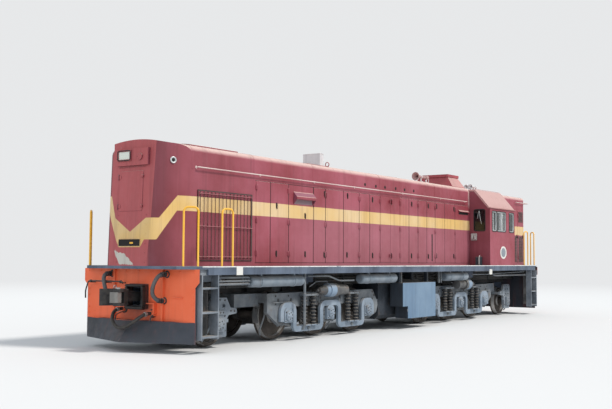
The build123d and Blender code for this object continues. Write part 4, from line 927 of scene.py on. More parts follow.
def add_side_doors():
    """The doors that are shut for good: thin plates on the hood's sides, dark gaps, hinges, latches, and dark
    plates of painted shade for recesses and holes.
    """
    plates, gaps, hinges, recess_shade, levers, screens, leaf = (Shapes() for _ in range(7))
    for number, (low, high) in enumerate(PANEL_SPANS):
        top = INTAKE_DOOR_TOP if low < INTAKE_X[0] < high else PANEL_Z[1]
        plates.add(panel((low, high), (PANEL_Z[0], top), 0.012, HOOD_SIDE - 0.001, PANEL_FACE, "y"))
        x = low + 0.014 if number % 2 == 0 else high - 0.014
        for z in HINGE_Z:
            if z + HINGE_LENGTH < top:
                hinges.add(pin((x, PANEL_FACE + 0.008, z), HINGE_LENGTH, 0.014, 0.011))
                low_corner = (x - 0.03, PANEL_FACE - 0.001, z + 0.012)
                hinges.add(box(low_corner, (x + 0.03, PANEL_FACE + 0.005, z + 0.098), 0.002))
    for before, after in zip(PANEL_SPANS, PANEL_SPANS[1:]):
        if after[0] - before[1] < 0.1:
            gaps.add(strip((before[1] - 0.002, after[0] + 0.002), PANEL_Z))
    for z in (PANEL_Z[0] - 0.003, PANEL_Z[1] + 0.003):
        for x in ((-5.24, -0.652), (0.262, 4.08)):
            gaps.add(strip(x, (z - 0.005, z + 0.005)))
    # Painted shade: dark plates for the latches' recesses, a slot and round holes.
    for x, z in LATCH_AT:
        recess_shade.add(recess((x - 0.025, x + 0.025), (z - 0.062, z + 0.050), 0.023))
        levers.add(box((x - 0.008, PANEL_FACE, z - 0.075), (x + 0.008, PANEL_FACE + 0.020, z + 0.03), 0.003))
    recess_shade.add(recess((1.884, 1.936), (1.54, 2.22), 0.012))
    for x, z in ROUND_HOLES_AT:
        recess_shade.add(lathe([(0, 0.036), (0.003, 0.036), (0.0035, 0.030)], (x, HOOD_SIDE - 0.001, z), "y", 20))
    screens.add(strip((INTAKE_X[0] + 0.03, INTAKE_X[1] - 0.03), (2.665, 2.895), 0.002))
    # Painted shade: dark plates for two recesses on an engine door's leaf.
    for z in (2.920, 1.660):
        leaf.add(recess((-0.172, -0.118), (z - 0.062, z + 0.062), 0.022, PANEL_FACE + 0.0005))
    show_both_sides(("intake_screens", screens, "mesh"))
    show("leaf_recess_shade_right", leaf.scaled(MIRROR), "dark", "engine_door_right_front")
    show("leaf_recess_shade_left", leaf, "dark", "engine_door_left_front")
    show_both_sides(("side_door_plates", plates, "hood"), ("side_door_gaps", gaps, "dark"),
                    ("side_door_hinges", hinges, "hood"),
                    ("side_door_recess_shade", recess_shade, "dark"), ("side_door_latches", levers, "latch"))


GRILLE_X = (-6.80, -5.39)
GRILLE_FINS = 57
# Thin dark lines of painted shadow round each grille's frame.
GRILLE_SHADOW_LINES = (
    # x, z
    ((-6.85, -5.345), (2.742, 2.764)), ((-6.85, -5.345), (1.528, 1.540)), ((-5.372, -5.345), (1.54, 2.742)),
    ((-6.85, -6.836), (1.54, 2.742)),
)


def add_grille_bars():
    """Upright folded slats in each grille, a zigzag drawn upwards, with bars, rails and bolts before them, and
    thin dark lines of painted shadow round its frame.
    """
    bars, rails, fins, lines = (Shapes() for _ in range(4))
    y = HOOD_SIDE + 0.026
    for x in np.linspace(*GRILLE_X, 15):
        bars.add(tube([(x, y, 1.56), (x, y, 2.74)], 0.0060))
    for z in (1.60, 2.13, 2.70):
        rails.add(tube([(-6.83, y + 0.014, z), (-5.36, y + 0.014, z)], 0.007))
    for z in (1.575, 2.725):
        heads = row((-6.82, HOOD_SIDE + 0.015, z), (-5.37, HOOD_SIDE + 0.015, z), 9)
        rails.add(*bolts(heads, "y", 0.010, 0.006))
    edges = np.linspace(*GRILLE_X, GRILLE_FINS)
    front = np.where(np.arange(GRILLE_FINS) % 2 == 0, HOOD_SIDE - 0.003, HOOD_SIDE + 0.013)
    back = [(x, HOOD_SIDE - 0.006) for x in GRILLE_X[::-1]]
    fins.add(extrusion([*zip(edges, front), *back], 1.60, 2.70, "z"))
    # Painted shadow: thin dark lines along each grille's frame.
    for x, z in GRILLE_SHADOW_LINES:
        lines.add(strip(x, z, 0.0166))
    show_both_sides(("grille_shadow_lines", lines, "latch"))
    show("grille_fins", fins.mirrored(), "hood", crease=20)
    show_both_sides(("grille_bars", bars, "latch"), ("grille_rails", rails, "hood"))


RAKE = 0.075 / 2.162


def raked(points):
    """Points of an upright shape at x = 0, leant onto the long end's face: x = face + rake (z - deck)."""
    return points + lay(np.zeros((len(points), 2)), 0.0, "x") + np.outer(
        HOOD_FACE + RAKE * (points[:, 2] - DECK), AXES["x"])


def add_nose():
    """The long end's access door with hinges, the slot with its frame and yellow bar, and two side lamps."""
    metal, dark, bright, yellow = (Shapes() for _ in range(4))
    metal.add(panel((-0.235, 0.345), (2.37, 3.06), 0.03, 0.002, -0.007, "x"))
    for z in (2.45, 2.96):
        metal.add(pin((-0.012, 0.352, z - 0.05), 0.10, 0.014, 0.010))
        metal.add(box((-0.013, 0.29, z - 0.03), (-0.006, 0.352, z + 0.03), 0.002))
        metal.add(box((-0.028, -0.250, z - 0.022), (-0.004, -0.205, z + 0.022), 0.006))
    metal.add(box((-0.010, -0.27, 3.122), (0.002, 0.36, 3.134), 0.003))
    metal.add(rim((-0.222, 0.305), (1.768, 1.895), 0.012, -0.004, "x", 0.006))
    # Painted shade: a dark plate in the slot's frame stands for its opening.
    dark.add(panel((-0.216, 0.299), (1.774, 1.889), 0.010, 0.001, -0.002, "x", 0.0005))
    yellow.add(box((-0.0045, -0.05, 1.812), (-0.001, 0.03, 1.842), 0.001))
    for z in np.linspace(1.50, 2.30, 6):
        metal.add(*bolts([(-0.0005, -0.335, z), (-0.0005, 0.335, z)], "-x", 0.009, 0.006))
    for shapes in (metal, dark, yellow):
        shapes.moved(raked)
    for mirror in (1, MIRROR):
        at, outward = np.array((-7.342, -0.6295, 3.24)) * mirror, np.array((-0.341, -0.940, 0.0)) * mirror
        bright.add(lathe([(-0.004, 0.030), (-0.004, 0.058), (0.016, 0.058), (0.020, 0.052), (0.016, 0.034),
                          (0.004, 0.030)], at, outward, 28))
        dark.add(lathe([(-0.002, 0.031), (0.010, 0.031), (0.014, 0.020)], at, outward))
    show("nose_fittings", metal, "hood")
    show("nose_slot", dark, "dark")
    show("nose_slot_bar", yellow, "yellow")
    show("nose_lamp_rings", bright, "silver")


def add_nose_shoulder():
    """The long end's fuller left shoulder: one plan outline lofted up the rake and drawn in over the eave."""
    plan = [(0.010, 0.300), (-0.001, 0.340), (0.001, 0.440), (0.006, 0.530), (0.022, 0.578), (0.060, 0.612),
            (0.200, 0.645), (0.420, 0.690), (0.640, 0.735), (0.690, 0.700), (0.330, 0.560), (0.120, 0.380)]
    outer = slice(2, 9)
    rings = []
    for z, drawn in ((DECK, 0.0), (3.36, 0.0), (3.41, 0.008), (3.45, 0.030), (3.475, 0.065), (3.485, 0.110)):
        ring = np.array([(HOOD_FACE + a + RAKE * (z - DECK), b, z) for a, b in plan])
        ring[outer, 0] += drawn * np.array([0.25, 0.5, 0.8, 0.9, 0.3, 0.1, 0.0])
        ring[outer, 1] -= drawn * np.array([0.0, 0.4, 0.8, 1.0, 1.0, 1.0, 1.0])
        rings.append(ring)
    show("nose_shoulder", Shapes().add(skin(rings)), "hood", crease=60)


# Roofs, stack, horns and lamps

def arc(points, count):
    """Points on the circle through three points, from the first to the last."""
    p, q, r = (np.array(v, float) for v in points)
    centre = np.linalg.solve(2 * np.array([q - p, r - p]), np.array([q @ q - p @ p, r @ r - p @ p]))
    a = np.unwrap([math.atan2(*(v - centre)[::-1]) for v in (p, q, r)])
    t = np.linspace(a[0], a[2], count)
    return centre + np.linalg.norm(p - centre) * np.stack([np.cos(t), np.sin(t)], -1)


def roof_line(half, eave, top):
    """Points (y, z) over a hood's roof from its left eave to its right: the CAD section's three arcs."""
    shoulder = (half - 0.130, eave + 0.115)
    left = arc(((half, eave), (half - 0.035, eave + 0.075), shoulder), 7)
    over = arc((shoulder, (0, top), (-shoulder[0], shoulder[1])), 17)
    right = left[::-1] * (-1, 1)
    return np.concatenate([[(half, eave - 0.30)], left, over[1:-1], right, [(-half, eave - 0.30)]])


def roof_band(x, half, eave, top, wide=0.045, thick=0.004):
    """A flat strip over a hood's roof at x: a rectangle carried along the roof's line."""
    line = roof_line(half, eave, top)
    ahead = unit(np.gradient(line, axis=0))
    out = np.stack([ahead[:, 1], -ahead[:, 0]], -1)
    out *= np.sign(np.sum(out * (line - (0, eave - 0.5)), axis=1, keepdims=True))
    rings = []
    for low, high in zip(line - out * 0.002, line + out * thick):
        rings.append([(x - wide / 2, *low), (x + wide / 2, *low), (x + wide / 2 - 0.003, *high),
                      (x - wide / 2 + 0.003, *high)])
    return skin(rings)


def add_roof_shutters():
    """Low shutters over the fan in place of the CAD's raised ones: rim, nearly shut slats and fan hub."""
    rim_parts, slats = Shapes(), Shapes()
    for y in ((0.405, 0.440), (-0.440, -0.405)):
        rim_parts.add(box((-6.70, y[0], 3.50), (-5.40, y[1], 3.592), 0.006))
    arch = roof_line(HOOD_SIDE, HOOD_EAVE, HOOD_TOP)
    arch = arch[np.abs(arch[:, 0]) < 0.44]
    for x in ((-6.70, -6.655), (-5.445, -5.40)):
        rim_parts.add(skin([[(a, y, b) for a, b in rectangle(x, (z - 0.03, z + 0.024))] for y, z in arch]))
    for x in np.linspace(-6.61, -5.49, 17):
        section = ((x - 0.034, 0.000), (x + 0.030, 0.012), (x + 0.034, 0.018), (x - 0.030, 0.006))
        slats.add(skin([[(a, y, z + b) for a, b in section] for y, z in arch]))
    slats.add(box((-6.66, -0.022, 3.535), (-5.44, 0.022, 3.556), 0.004))
    slats.add(lathe([(0, 0.045), (0.055, 0.050), (0.062, 0.042)], (-6.05, 0, 3.500), "z", 28))
    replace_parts(show("roof_shutter_rim", rim_parts, "hood"), "roof_shutters")
    show("roof_shutter_slats", slats, "shutter")


STACK_HOLE_X = (-2.955, -2.150)
STACK_X = (-2.340, -2.205)
STACK_HALF = 0.232
STACK_TOP = 3.885


def add_exhaust_stack():
    """The exhaust stack as a narrow open chimney across the hood, in the CAD stack's box, with a flange."""
    def outline(out, corner):
        """The stack's plan, grown by out."""
        return rounded((STACK_X[0] - out, STACK_X[1] + out), (-STACK_HALF - out, STACK_HALF + out), corner)

    walls, dark, cover = Shapes(), Shapes(), Shapes()
    outer, inner = outline(0.0, 0.012), outline(-0.012, 0.006)
    walls.add(skin([lay(outer, 3.540, "z"), lay(outer, STACK_TOP - 0.004, "z"), lay(outer, STACK_TOP, "z"),
                    lay(inner, STACK_TOP, "z"), lay(inner, 3.600, "z")]))
    walls.add(hoop(lay(outline(0.001, 0.014), STACK_TOP - 0.010, "z"), 0.007, "z"))
    walls.add(plate(outline(0.035, 0.03), 3.600, 3.620, "z", 0.003))
    feet = [(x, y, 3.619) for x in (STACK_X[0] - 0.020, STACK_X[1] + 0.020) for y in (-0.20, 0.0, 0.20)]
    walls.add(*bolts(feet, "z", 0.010, 0.007))
    # Soot and painted shade: a nearly black plate at the bottom of the chimney.
    bottom = rectangle((STACK_X[0] + 0.014, STACK_X[1] - 0.014), (-STACK_HALF + 0.014, STACK_HALF - 0.014))
    dark.add(plate(bottom, 3.61, 3.62, "z", 0.001))
    cover.add(panel(STACK_HOLE_X, (-0.305, 0.305), 0.03, 3.575, 3.606, "z"))
    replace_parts(show("stack_walls", walls, "stack"), "exhaust_stack")
    show("stack_cover_plate", cover, "roof_plate")
    show("stack_soot", dark, "dark")


def trumpet(mouth, tail, radius, throat):
    """A horn's bell and tube: an open mouth narrowing in a curve to the throat, with a case at the tail."""
    mouth, tail = np.asarray(mouth, float), np.asarray(tail, float)
    length = np.linalg.norm(tail - mouth)
    t = np.linspace(0, 1, 9)
    bell = throat + (radius - throat) * (1 - t) ** 3
    profile = [(0.30 * length, 0.4 * throat)]
    profile += [(0.30 * length * k, r - 0.006) for k, r in zip(t[-2::-1], bell[-2::-1])]
    profile += [(-0.004, radius), (0.006, radius + 0.004)]
    profile += [(0.012 + 0.55 * length * k, r) for k, r in zip(t, bell)]
    profile += [(0.80 * length, throat), (0.80 * length, throat * 1.55), (0.97 * length, throat * 1.55),
                (length, throat * 1.2)]
    return lathe(profile, mouth, tail - mouth, 32)


def add_horns():
    """The hood's trumpet on two feet and three on the cab's roof, each inside the CAD horns' own boxes."""
    bells, feet, small, brackets = (Shapes() for _ in range(4))
    y = -0.350
    bells.add(trumpet((1.785, y, 3.700), (2.455, y, 3.706), 0.104, 0.032))
    for x in (2.08, 2.36):
        feet.add(tube([(x, y, 3.570), (x, y, 3.69)], 0.016, 12))
        feet.add(panel((x - 0.045, x + 0.045), (y - 0.045, y + 0.045), 0.015, 3.566, 3.590, "z", 0.004))
        feet.add(lathe([(-0.012, 0.042), (0.012, 0.042)], (x, y, 3.703), "x"))
    pipe = [(2.44, y, 3.706), (2.50, y, 3.700), (2.51, -0.345, 3.600), (2.515, -0.34, 3.58)]
    feet.add(bar(pipe, 0.009, 0.03))
    for y, reach in ((-0.580, 0.40), (-0.500, 0.31), (-0.420, 0.35)):
        small.add(trumpet((4.960 - reach, y, 3.622), (4.965, y, 3.622), 0.060, 0.017))
        brackets.add(tube([(4.90, y, 3.515), (4.90, y, 3.612)], 0.012, 10))
    brackets.add(box((4.84, -0.62, 3.500), (4.96, -0.38, 3.535), 0.006))
    brackets.add(*bolts([(x, y, 3.534) for y in (-0.60, -0.40) for x in (4.86, 4.94)], "z", 0.009, 0.007))
    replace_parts(show("hood_horn", bells, "bell"), "horns")
    show("cab_horns", small, "horn")
    show("hood_horn_feet", feet, "horn")
    show("cab_horn_bracket", brackets, "roof")


def add_lamps():
    """The rectangular lens of each end in its rubber bead, and the blank round lamp's bolts."""
    lens, bead, heads = Shapes(), Shapes(), Shapes()
    for sign, face, middle in ((-1, -7.68625, 3.325), (1, 7.715, 3.165)):
        y = sorted((-sign * 0.046, -sign * 0.324))
        z = (middle - 0.070, middle + 0.070)
        rings = []
        for inward, forward in ((0.0, 0.0), (0.0, 0.010), (0.010, 0.016), (0.045, 0.020)):
            outline = rounded((y[0] + inward, y[1] - inward), (z[0] + inward, z[1] - inward), 0.014)
            rings.append(lay(outline, face + sign * (forward - 0.004), "x"))
        lens.add(skin(rings))
        bead.add(rim((y[0] - 0.014, y[1] + 0.014), (z[0] - 0.014, z[1] + 0.014), 0.030,
                     face + sign * 0.019, "x", 0.009))
        ring = circle_points((face + sign * 0.020, sign * 0.190, middle - 0.03), 0.050, 6, "x")
        heads.add(*bolts(ring, (sign, 0, 0), 0.007, 0.005))
    show("headlamp_lenses", lens, "lens")
    show("headlamp_beads", bead, "seal")
    show("blank_lamp_bolts", heads, "hood")


def add_roof():
    """Strips over the hoods' joints, lifting eyes and the bolts of the shutters' frame."""
    strips, eyes = Shapes(), Shapes()
    for x in (-6.98, -5.27, -3.33, -0.66, 0.268, 2.08, 3.22):
        strips.add(roof_band(x, HOOD_SIDE, HOOD_EAVE, HOOD_TOP))
    for x in (6.55, 7.52):
        strips.add(roof_band(x, SHORT_SIDE, SHORT_EAVE, SHORT_TOP))
    for y in (0.58, -0.58):
        eyes.add(hoop(circle_points((-2.58, y, 3.592), 0.045, 20, "x"), 0.010, "x"))
        eyes.add(lathe([(-0.01, 0.032), (0.012, 0.032), (0.016, 0.020)], (-2.58, y, 3.542), "z", 16))
    for y in (0.422, -0.422):
        eyes.add(*bolts(row((-6.66, y, 3.591), (-5.44, y, 3.591), 8), "z", 0.009, 0.005))
    show("roof_strips", strips, "hood")
    show("lifting_eyes", eyes, "hood")


# The cab and the short hood

SIDE_WINDOWS = ((4.265, 4.565), (4.595, 5.185), (5.425, 5.755))
WINDOW_Z = (2.358, 2.908)
END_WINDOW_Z = (2.363, 2.948)
ROUND_PLATE_AT = (5.005, CAB_SIDE, 1.787)
ROUND_PLATE_OVAL = np.array((1.22, 1.0, 1.0))
WIPER_Z = 2.925


def add_cab_fixture():
    """The fixture on the cab's long-end side, and the chest on the deck below it with its pipe."""
    fixture, chest, pipe = Shapes(), Shapes(), Shapes()
    fixture.add(panel((-0.968, -0.800), (2.110, 2.300), 0.02, CAB_REAR_FACE + 0.001,
                      CAB_REAR_FACE - 0.030, "x", 0.004))
    for y, low, high in ((-0.925, 2.130, 2.235), (-0.842, 2.150, 2.285)):
        fixture.add(lathe([(0, 0.026), (0.010, 0.033), (0.030, 0.034), (high - low - 0.02, 0.030),
                           (high - low, 0.016)], (CAB_REAR_FACE - 0.045, y, low), "z"))
    chest.add(box((3.975, -1.120, DECK - 0.001), (4.118, -0.985, 1.655), 0.012))
    chest.add(box((3.965, -1.128, 1.650), (4.119, -0.977, 1.668), 0.005))
    pipe.add(bar([(3.960, -1.095, 1.46), (3.950, -1.100, 1.66), (3.995, -1.100, 1.70)], 0.009, 0.03))
    show("cab_fixture", fixture, "fixture")
    show("deck_chest", chest, "tank")
    show("deck_chest_pipe", pipe, "white")


def add_windows():
    """Rubber round every cab window, aluminium sashes in the side ones, and a wiper on each end window."""
    rubber, sash, wiper, arm = (Shapes() for _ in range(4))
    for x in SIDE_WINDOWS:
        rubber.add(rim(x, WINDOW_Z, 0.045, CAB_SIDE + 0.002, "y", 0.011))
        sash.add(rim((x[0] + 0.020, x[1] - 0.020), (WINDOW_Z[0] + 0.020, WINDOW_Z[1] - 0.020), 0.030,
                     CAB_SIDE - 0.012, "y", 0.014))
    for x in (4.875, 4.905):
        sash.add(box((x - 0.012, CAB_SIDE - 0.022, WINDOW_Z[0] + 0.01), (x + 0.012, CAB_SIDE - 0.006,
                                                                         WINDOW_Z[1] - 0.01), 0.003))
    rubber.mirrored()
    for face, sign, y in ((CAB_REAR_FACE, -1, (-1.205, -0.880)), (CAB_FRONT_FACE, 1, (0.935, 1.235))):
        rubber.add(rim(y, END_WINDOW_Z, 0.045, face + sign * 0.002, "x", 0.011))
        middle = (y[0] + y[1]) / 2
        pivot = (face + sign * 0.022, middle, WIPER_Z)
        wiper.add(lathe([(-0.03, 0.020), (0.006, 0.020), (0.010, 0.012)], pivot, (sign, 0, 0), 16))
        for foot_y, foot_z in ((middle + 0.055, 2.70), (middle - 0.062, 2.55)):
            elbow = (face + sign * 0.030, (middle + foot_y) / 2, (WIPER_Z + foot_z) / 2)
            arm.add(tube([pivot, elbow, (face + sign * 0.014, foot_y, foot_z)], 0.0055))
    show("window_seals", rubber, "seal")
    show("window_sashes", sash.mirrored(), "silver")
    show("wiper_motors", wiper, "seal")
    show("wiper_arms", arm, "silver")


def add_round_plates():
    """The blank oval plates on the cab's sides, each in a white ring, and the rain gutters."""
    white, badge, gutter = (Shapes() for _ in range(3))
    badge.add(lathe([(-0.001, 0.128), (0.005, 0.128), (0.007, 0.120)], (0, 0, 0), "y", 48))
    white.add(lathe([(-0.001, 0.126), (-0.001, 0.173), (0.007, 0.173), (0.009, 0.168), (0.009, 0.132),
                     (0.0055, 0.126)], (0, 0, 0), "y", 48))
    for shapes in (badge, white):
        shapes.moved(lambda points: points * ROUND_PLATE_OVAL + ROUND_PLATE_AT)
    for y in (1.372, -1.372):
        ends = [(4.135, y, 3.00), (4.135, y, 2.985), (5.815, y, 2.985), (5.815, y, 3.00)]
        gutter.add(bar(ends, 0.006, 0.006, 6))
    gutter.add(box((4.14, -0.90, 3.505), (5.81, -0.892, 3.515), 0.002))
    show_both_sides(("cab_white_parts", white, "white"), ("round_plates", badge, "badge"))
    show("cab_rain_gutter", gutter, "roof")


def louvres(shapes, x, z, y, pitch=0.045, reach=0.016):
    """A column of pressed louvres on a side face: each a wedge open below, from z up and y outwards."""
    for low in np.arange(z[0], z[1], pitch):
        shapes.add(extrusion([(y - 0.001, low + pitch * 0.85), (y + reach, low + pitch * 0.25),
                              (y + reach, low + pitch * 0.12), (y - 0.001, low + pitch * 0.12)], *x, "x"))


def add_short_hood_fittings():
    """Louvred doors on the short hood's sides with latches and a slot of painted shade, and the rail round its
    end.
    """
    doors, slats, latch, slot, rail = (Shapes() for _ in range(5))
    face = SHORT_SIDE + 0.008
    for x in ((5.95, 6.50), (6.62, 7.10), (7.14, 7.56)):
        doors.add(panel(x, (1.50, 3.06), 0.012, SHORT_SIDE - 0.001, face, "y"))
        latch.add(box((x[1] - 0.065, face, 2.24), (x[1] - 0.050, face + 0.018, 2.34), 0.003))
        for z in HINGE_Z:
            doors.add(pin((x[0] + 0.012, SHORT_SIDE + 0.015, z), 0.10, 0.013, 0.010))
    for x in ((6.70, 6.86), (6.88, 7.04), (7.19, 7.34), (7.36, 7.51)):
        louvres(slats, x, (1.54, 2.30), face)
    for x in ((7.19, 7.34), (7.36, 7.51)):
        louvres(slats, x, (2.72, 3.02), face)
    # Painted shade: a dark plate for the slot.
    slot.add(recess((7.108, 7.132), (1.50, 2.30), 0.008, face))
    corners = [(6.92, -0.955, 3.30), (7.86, -0.955, 3.30), (7.86, 0.955, 3.30), (6.92, 0.955, 3.30)]
    rail.add(bar(corners, 0.011, 0.06))
    for side in (-1, 1):
        for x in (6.98, 7.50):
            rail.add(tube([(x, side * 0.955, 3.30), (x, side * (SHORT_SIDE - 0.002), 3.30)], 0.009))
    for y in (-0.62, 0.62):
        rail.add(tube([(7.86, y, 3.30), (7.655, y, 3.30)], 0.009))
    # The louvres are nearly black: painted shade.
    show_both_sides(("short_hood_slot_shade", slot, "dark"), ("short_hood_doors", doors, "hood"),
                    ("short_hood_louvres", slats, "latch"), ("short_hood_latches", latch, "latch"))
    show("short_hood_rail", rail, "rail")


def add_cab_side_visors():
    """A small visor on each side of the hood next to the cab, with cheeks and a dark plate of painted shade
    for the opening below it.
    """
    tops, dark = Shapes(), Shapes()
    wall, lip = HOOD_SIDE - 0.002, HOOD_SIDE + 0.052
    tops.add(extrusion([(wall, 2.915), (lip, 2.872), (lip, 2.858), (wall, 2.880)], 3.42, 4.03, "x"))
    for x in (3.42, 4.02):
        tops.add(extrusion([(wall, 2.91), (lip - 0.002, 2.868), (wall, 2.79)], x, x + 0.01, "x"))
    # Painted shade: a dark plate for the opening under the visor.
    dark.add(box((3.44, HOOD_SIDE + 0.007, 2.79), (4.01, HOOD_SIDE + 0.0095, 2.875), 0.0005))
    show_both_sides(("side_visors", tops, "hood"), ("side_visor_opening_shade", dark, "dark"))


# Below the deck

DRIVERS = (-4.500, -3.050, -1.600)
AXLE_Z = 0.485
TRAY_SPANS = ((-7.38, -4.06), (-3.49, 3.49), (4.06, 7.38))
SIDE_PIPES = (
    # points, radius, bend
    ([(-4.20, 1.22, 1.24), (-3.45, 1.22, 1.24), (-3.10, 1.24, 1.14), (-2.55, 1.24, 1.14)], 0.018, 0.08),
    ([(-0.70, 1.25, 1.33), (1.62, 1.25, 1.33)], 0.020, 0.08),
    ([(3.35, 1.24, 1.30), (4.35, 1.24, 1.30), (4.60, 1.24, 1.16), (6.85, 1.24, 1.16)], 0.022, 0.10),
    ([(3.30, 1.20, 1.20), (4.30, 1.20, 1.20), (6.85, 1.20, 1.25)], 0.016, 0.10),
)


def add_under_deck():
    """Long dark trays of painted shade and pipes under the deck, hangers, the sill's white blocks and its
    bolts.
    """
    trays, pipes, hangers, blocks, heads = (Shapes() for _ in range(5))
    # Painted shade: dark trays that keep the view across under the deck dark.
    for low, high in TRAY_SPANS:
        trays.add(box((low, 0.560, 1.035), (high, 0.585, 1.300), 0.004))
        for z, radius in ((1.055, 0.024), (1.115, 0.030), (1.180, 0.022)):
            pipes.add(tube([(low, 0.62, z), (high, 0.62, z)], radius, 10))
        for x in np.arange(low + 0.35, high, 1.1):
            pipes.add(box((x - 0.02, 0.583, 1.030), (x + 0.02, 0.665, 1.215), 0.004))
    for low, high in ((-7.30, -5.16), (5.16, 7.30)):
        trays.add(box((low, 0.352, 0.930), (high, 0.364, 1.112), 0.003))
    for z, y, radius in ((1.245, 1.265, 0.020), (1.185, 1.285, 0.016), (1.130, 1.270, 0.022)):
        ends = [(-6.93, y - 0.10, z), (-6.93, y, z), (-6.04, y, z), (-5.99, y - 0.08, z - 0.04)]
        hangers.add(bar(ends, radius, 0.05))
    for x in (-6.80, -6.20):
        hangers.add(box((x - 0.02, 1.235, 1.10), (x + 0.02, 1.255, SILL_UNDER), 0.003))
    hangers.add(bar([(-4.31, 1.235, SILL_UNDER), (-4.31, 1.235, 0.30), (-4.31, 1.19, 0.22)], 0.026, 0.05, 10))
    hangers.add(lathe([(0, 0.036), (0.05, 0.036), (0.055, 0.028)], (-4.31, 1.235, 0.86), "z", 16))
    for x in (-0.46, 1.407, 1.52):
        hangers.add(box((x - 0.018, 1.18, 1.02), (x + 0.018, 1.205, SILL_UNDER), 0.003))
    for points, radius, bend in SIDE_PIPES:
        hangers.add(bar(points, radius, bend))
    for x, z in ((-6.44, 1.288), (4.09, 1.200)):
        blocks.add(box((x - 0.085, 1.360, z), (x + 0.085, 1.3778, z + 0.135), 0.0008))
    for x in (-3.75, -1.85, 2.10):
        blocks.add(box((x - 0.10, 1.290, 1.368), (x + 0.10, 1.330, SILL_UNDER), 0.003))
    heads.add(*bolts([(x, 1.3745, 1.402) for x in np.arange(-7.30, 7.31, 0.365)], "y", 0.013, 0.0006))
    show_both_sides(("cable_trays", trays, "dark_steel"), ("tray_pipes", pipes, "dark_steel"),
                    ("side_pipes", hangers, "bogie"), ("sill_blocks", blocks, "white"),
                    ("sill_bolts", heads, "frame"))


def add_equipment_box_trim():
    """Seams, toggle latches and a foot on the equipment boxes' doors."""
    seams, toggles = Shapes(), Shapes()
    y = 1.329
    for x in (-0.250, 0.007, 0.550):
        seams.add(box((x - 0.003, y, 0.34), (x + 0.003, y + 0.0008, 1.05), 0.0002))
    toggles.add(box((-0.215, y - 0.03, 0.235), (-0.165, y + 0.0005, 0.262), 0.003))
    for x in (-0.40, -0.12, 0.14, 0.42, 0.74):
        toggles.add(box((x - 0.02, y, 0.400), (x + 0.02, y + 0.0009, 0.46), 0.0002))
    show_both_sides(("box_door_seams", seams, "dark"), ("box_toggles", toggles, "bogie"))


def add_step_backs():
    """A dark plate of painted shade behind each flight of steps, with the sandbox door above it."""
    plates, lids = Shapes(), Shapes()
    plates.add(plate(rectangle((-7.40, -6.98), (0.30, SILL_UNDER)), 1.120, 1.132, "y"))
    lids.add(panel((-7.34, -7.04), (1.11, 1.36), 0.02, 1.131, 1.140, "y", 0.002))
    show_at_ends(None, ("step_back", plates.mirrored(), "dark_steel"),
                 ("step_back_door", lids.mirrored(), "dark_steel"))


def add_axlebox_covers(bright, dark, rods):
    """On each driven axlebox a turned cover and a plate with bolts, and below it the tie bar of its horns."""
    for x in DRIVERS:
        bright.add(lathe([(-0.002, 0.088), (0.010, 0.088), (0.014, 0.080), (0.014, 0.034), (0.022, 0.030),
                          (0.024, 0.018)], (x, 1.034, AXLE_Z), "y", 36))
        bright.add(panel((x - 0.105, x + 0.105), (0.372, 0.404), 0.008, 1.004, 1.014, "y", 0.002))
        dark.add(*bolts(circle_points((x, 1.047, AXLE_Z), 0.062, 6, "y", 0.3), "y", 0.011, 0.008))
        rods.add(bar([(x - 0.20, 0.890, 0.318), (x + 0.20, 0.890, 0.318)], 0.020, 0.02, 10))
        for side in (-1, 1):
            corners = [(x + side * 0.095, 1.0045, 0.385), (x + side * 0.085, 1.0045, 0.555)]
            dark.add(*bolts(corners, "y", 0.013, 0.010))
            horn = x + side * 0.165
            rods.add(box((horn - 0.020, 0.928, 0.345), (horn + 0.020, 0.945, 0.640), 0.004))
            dark.add(*bolts(row((horn, 0.944, 0.375), (horn, 0.944, 0.610), 4), "y", 0.012, 0.009))
            rods.add(lathe([(0, 0.034), (0.018, 0.034), (0.024, 0.022)], (x + side * 0.20, 0.890, 0.318),
                           (side, 0, 0), 6))


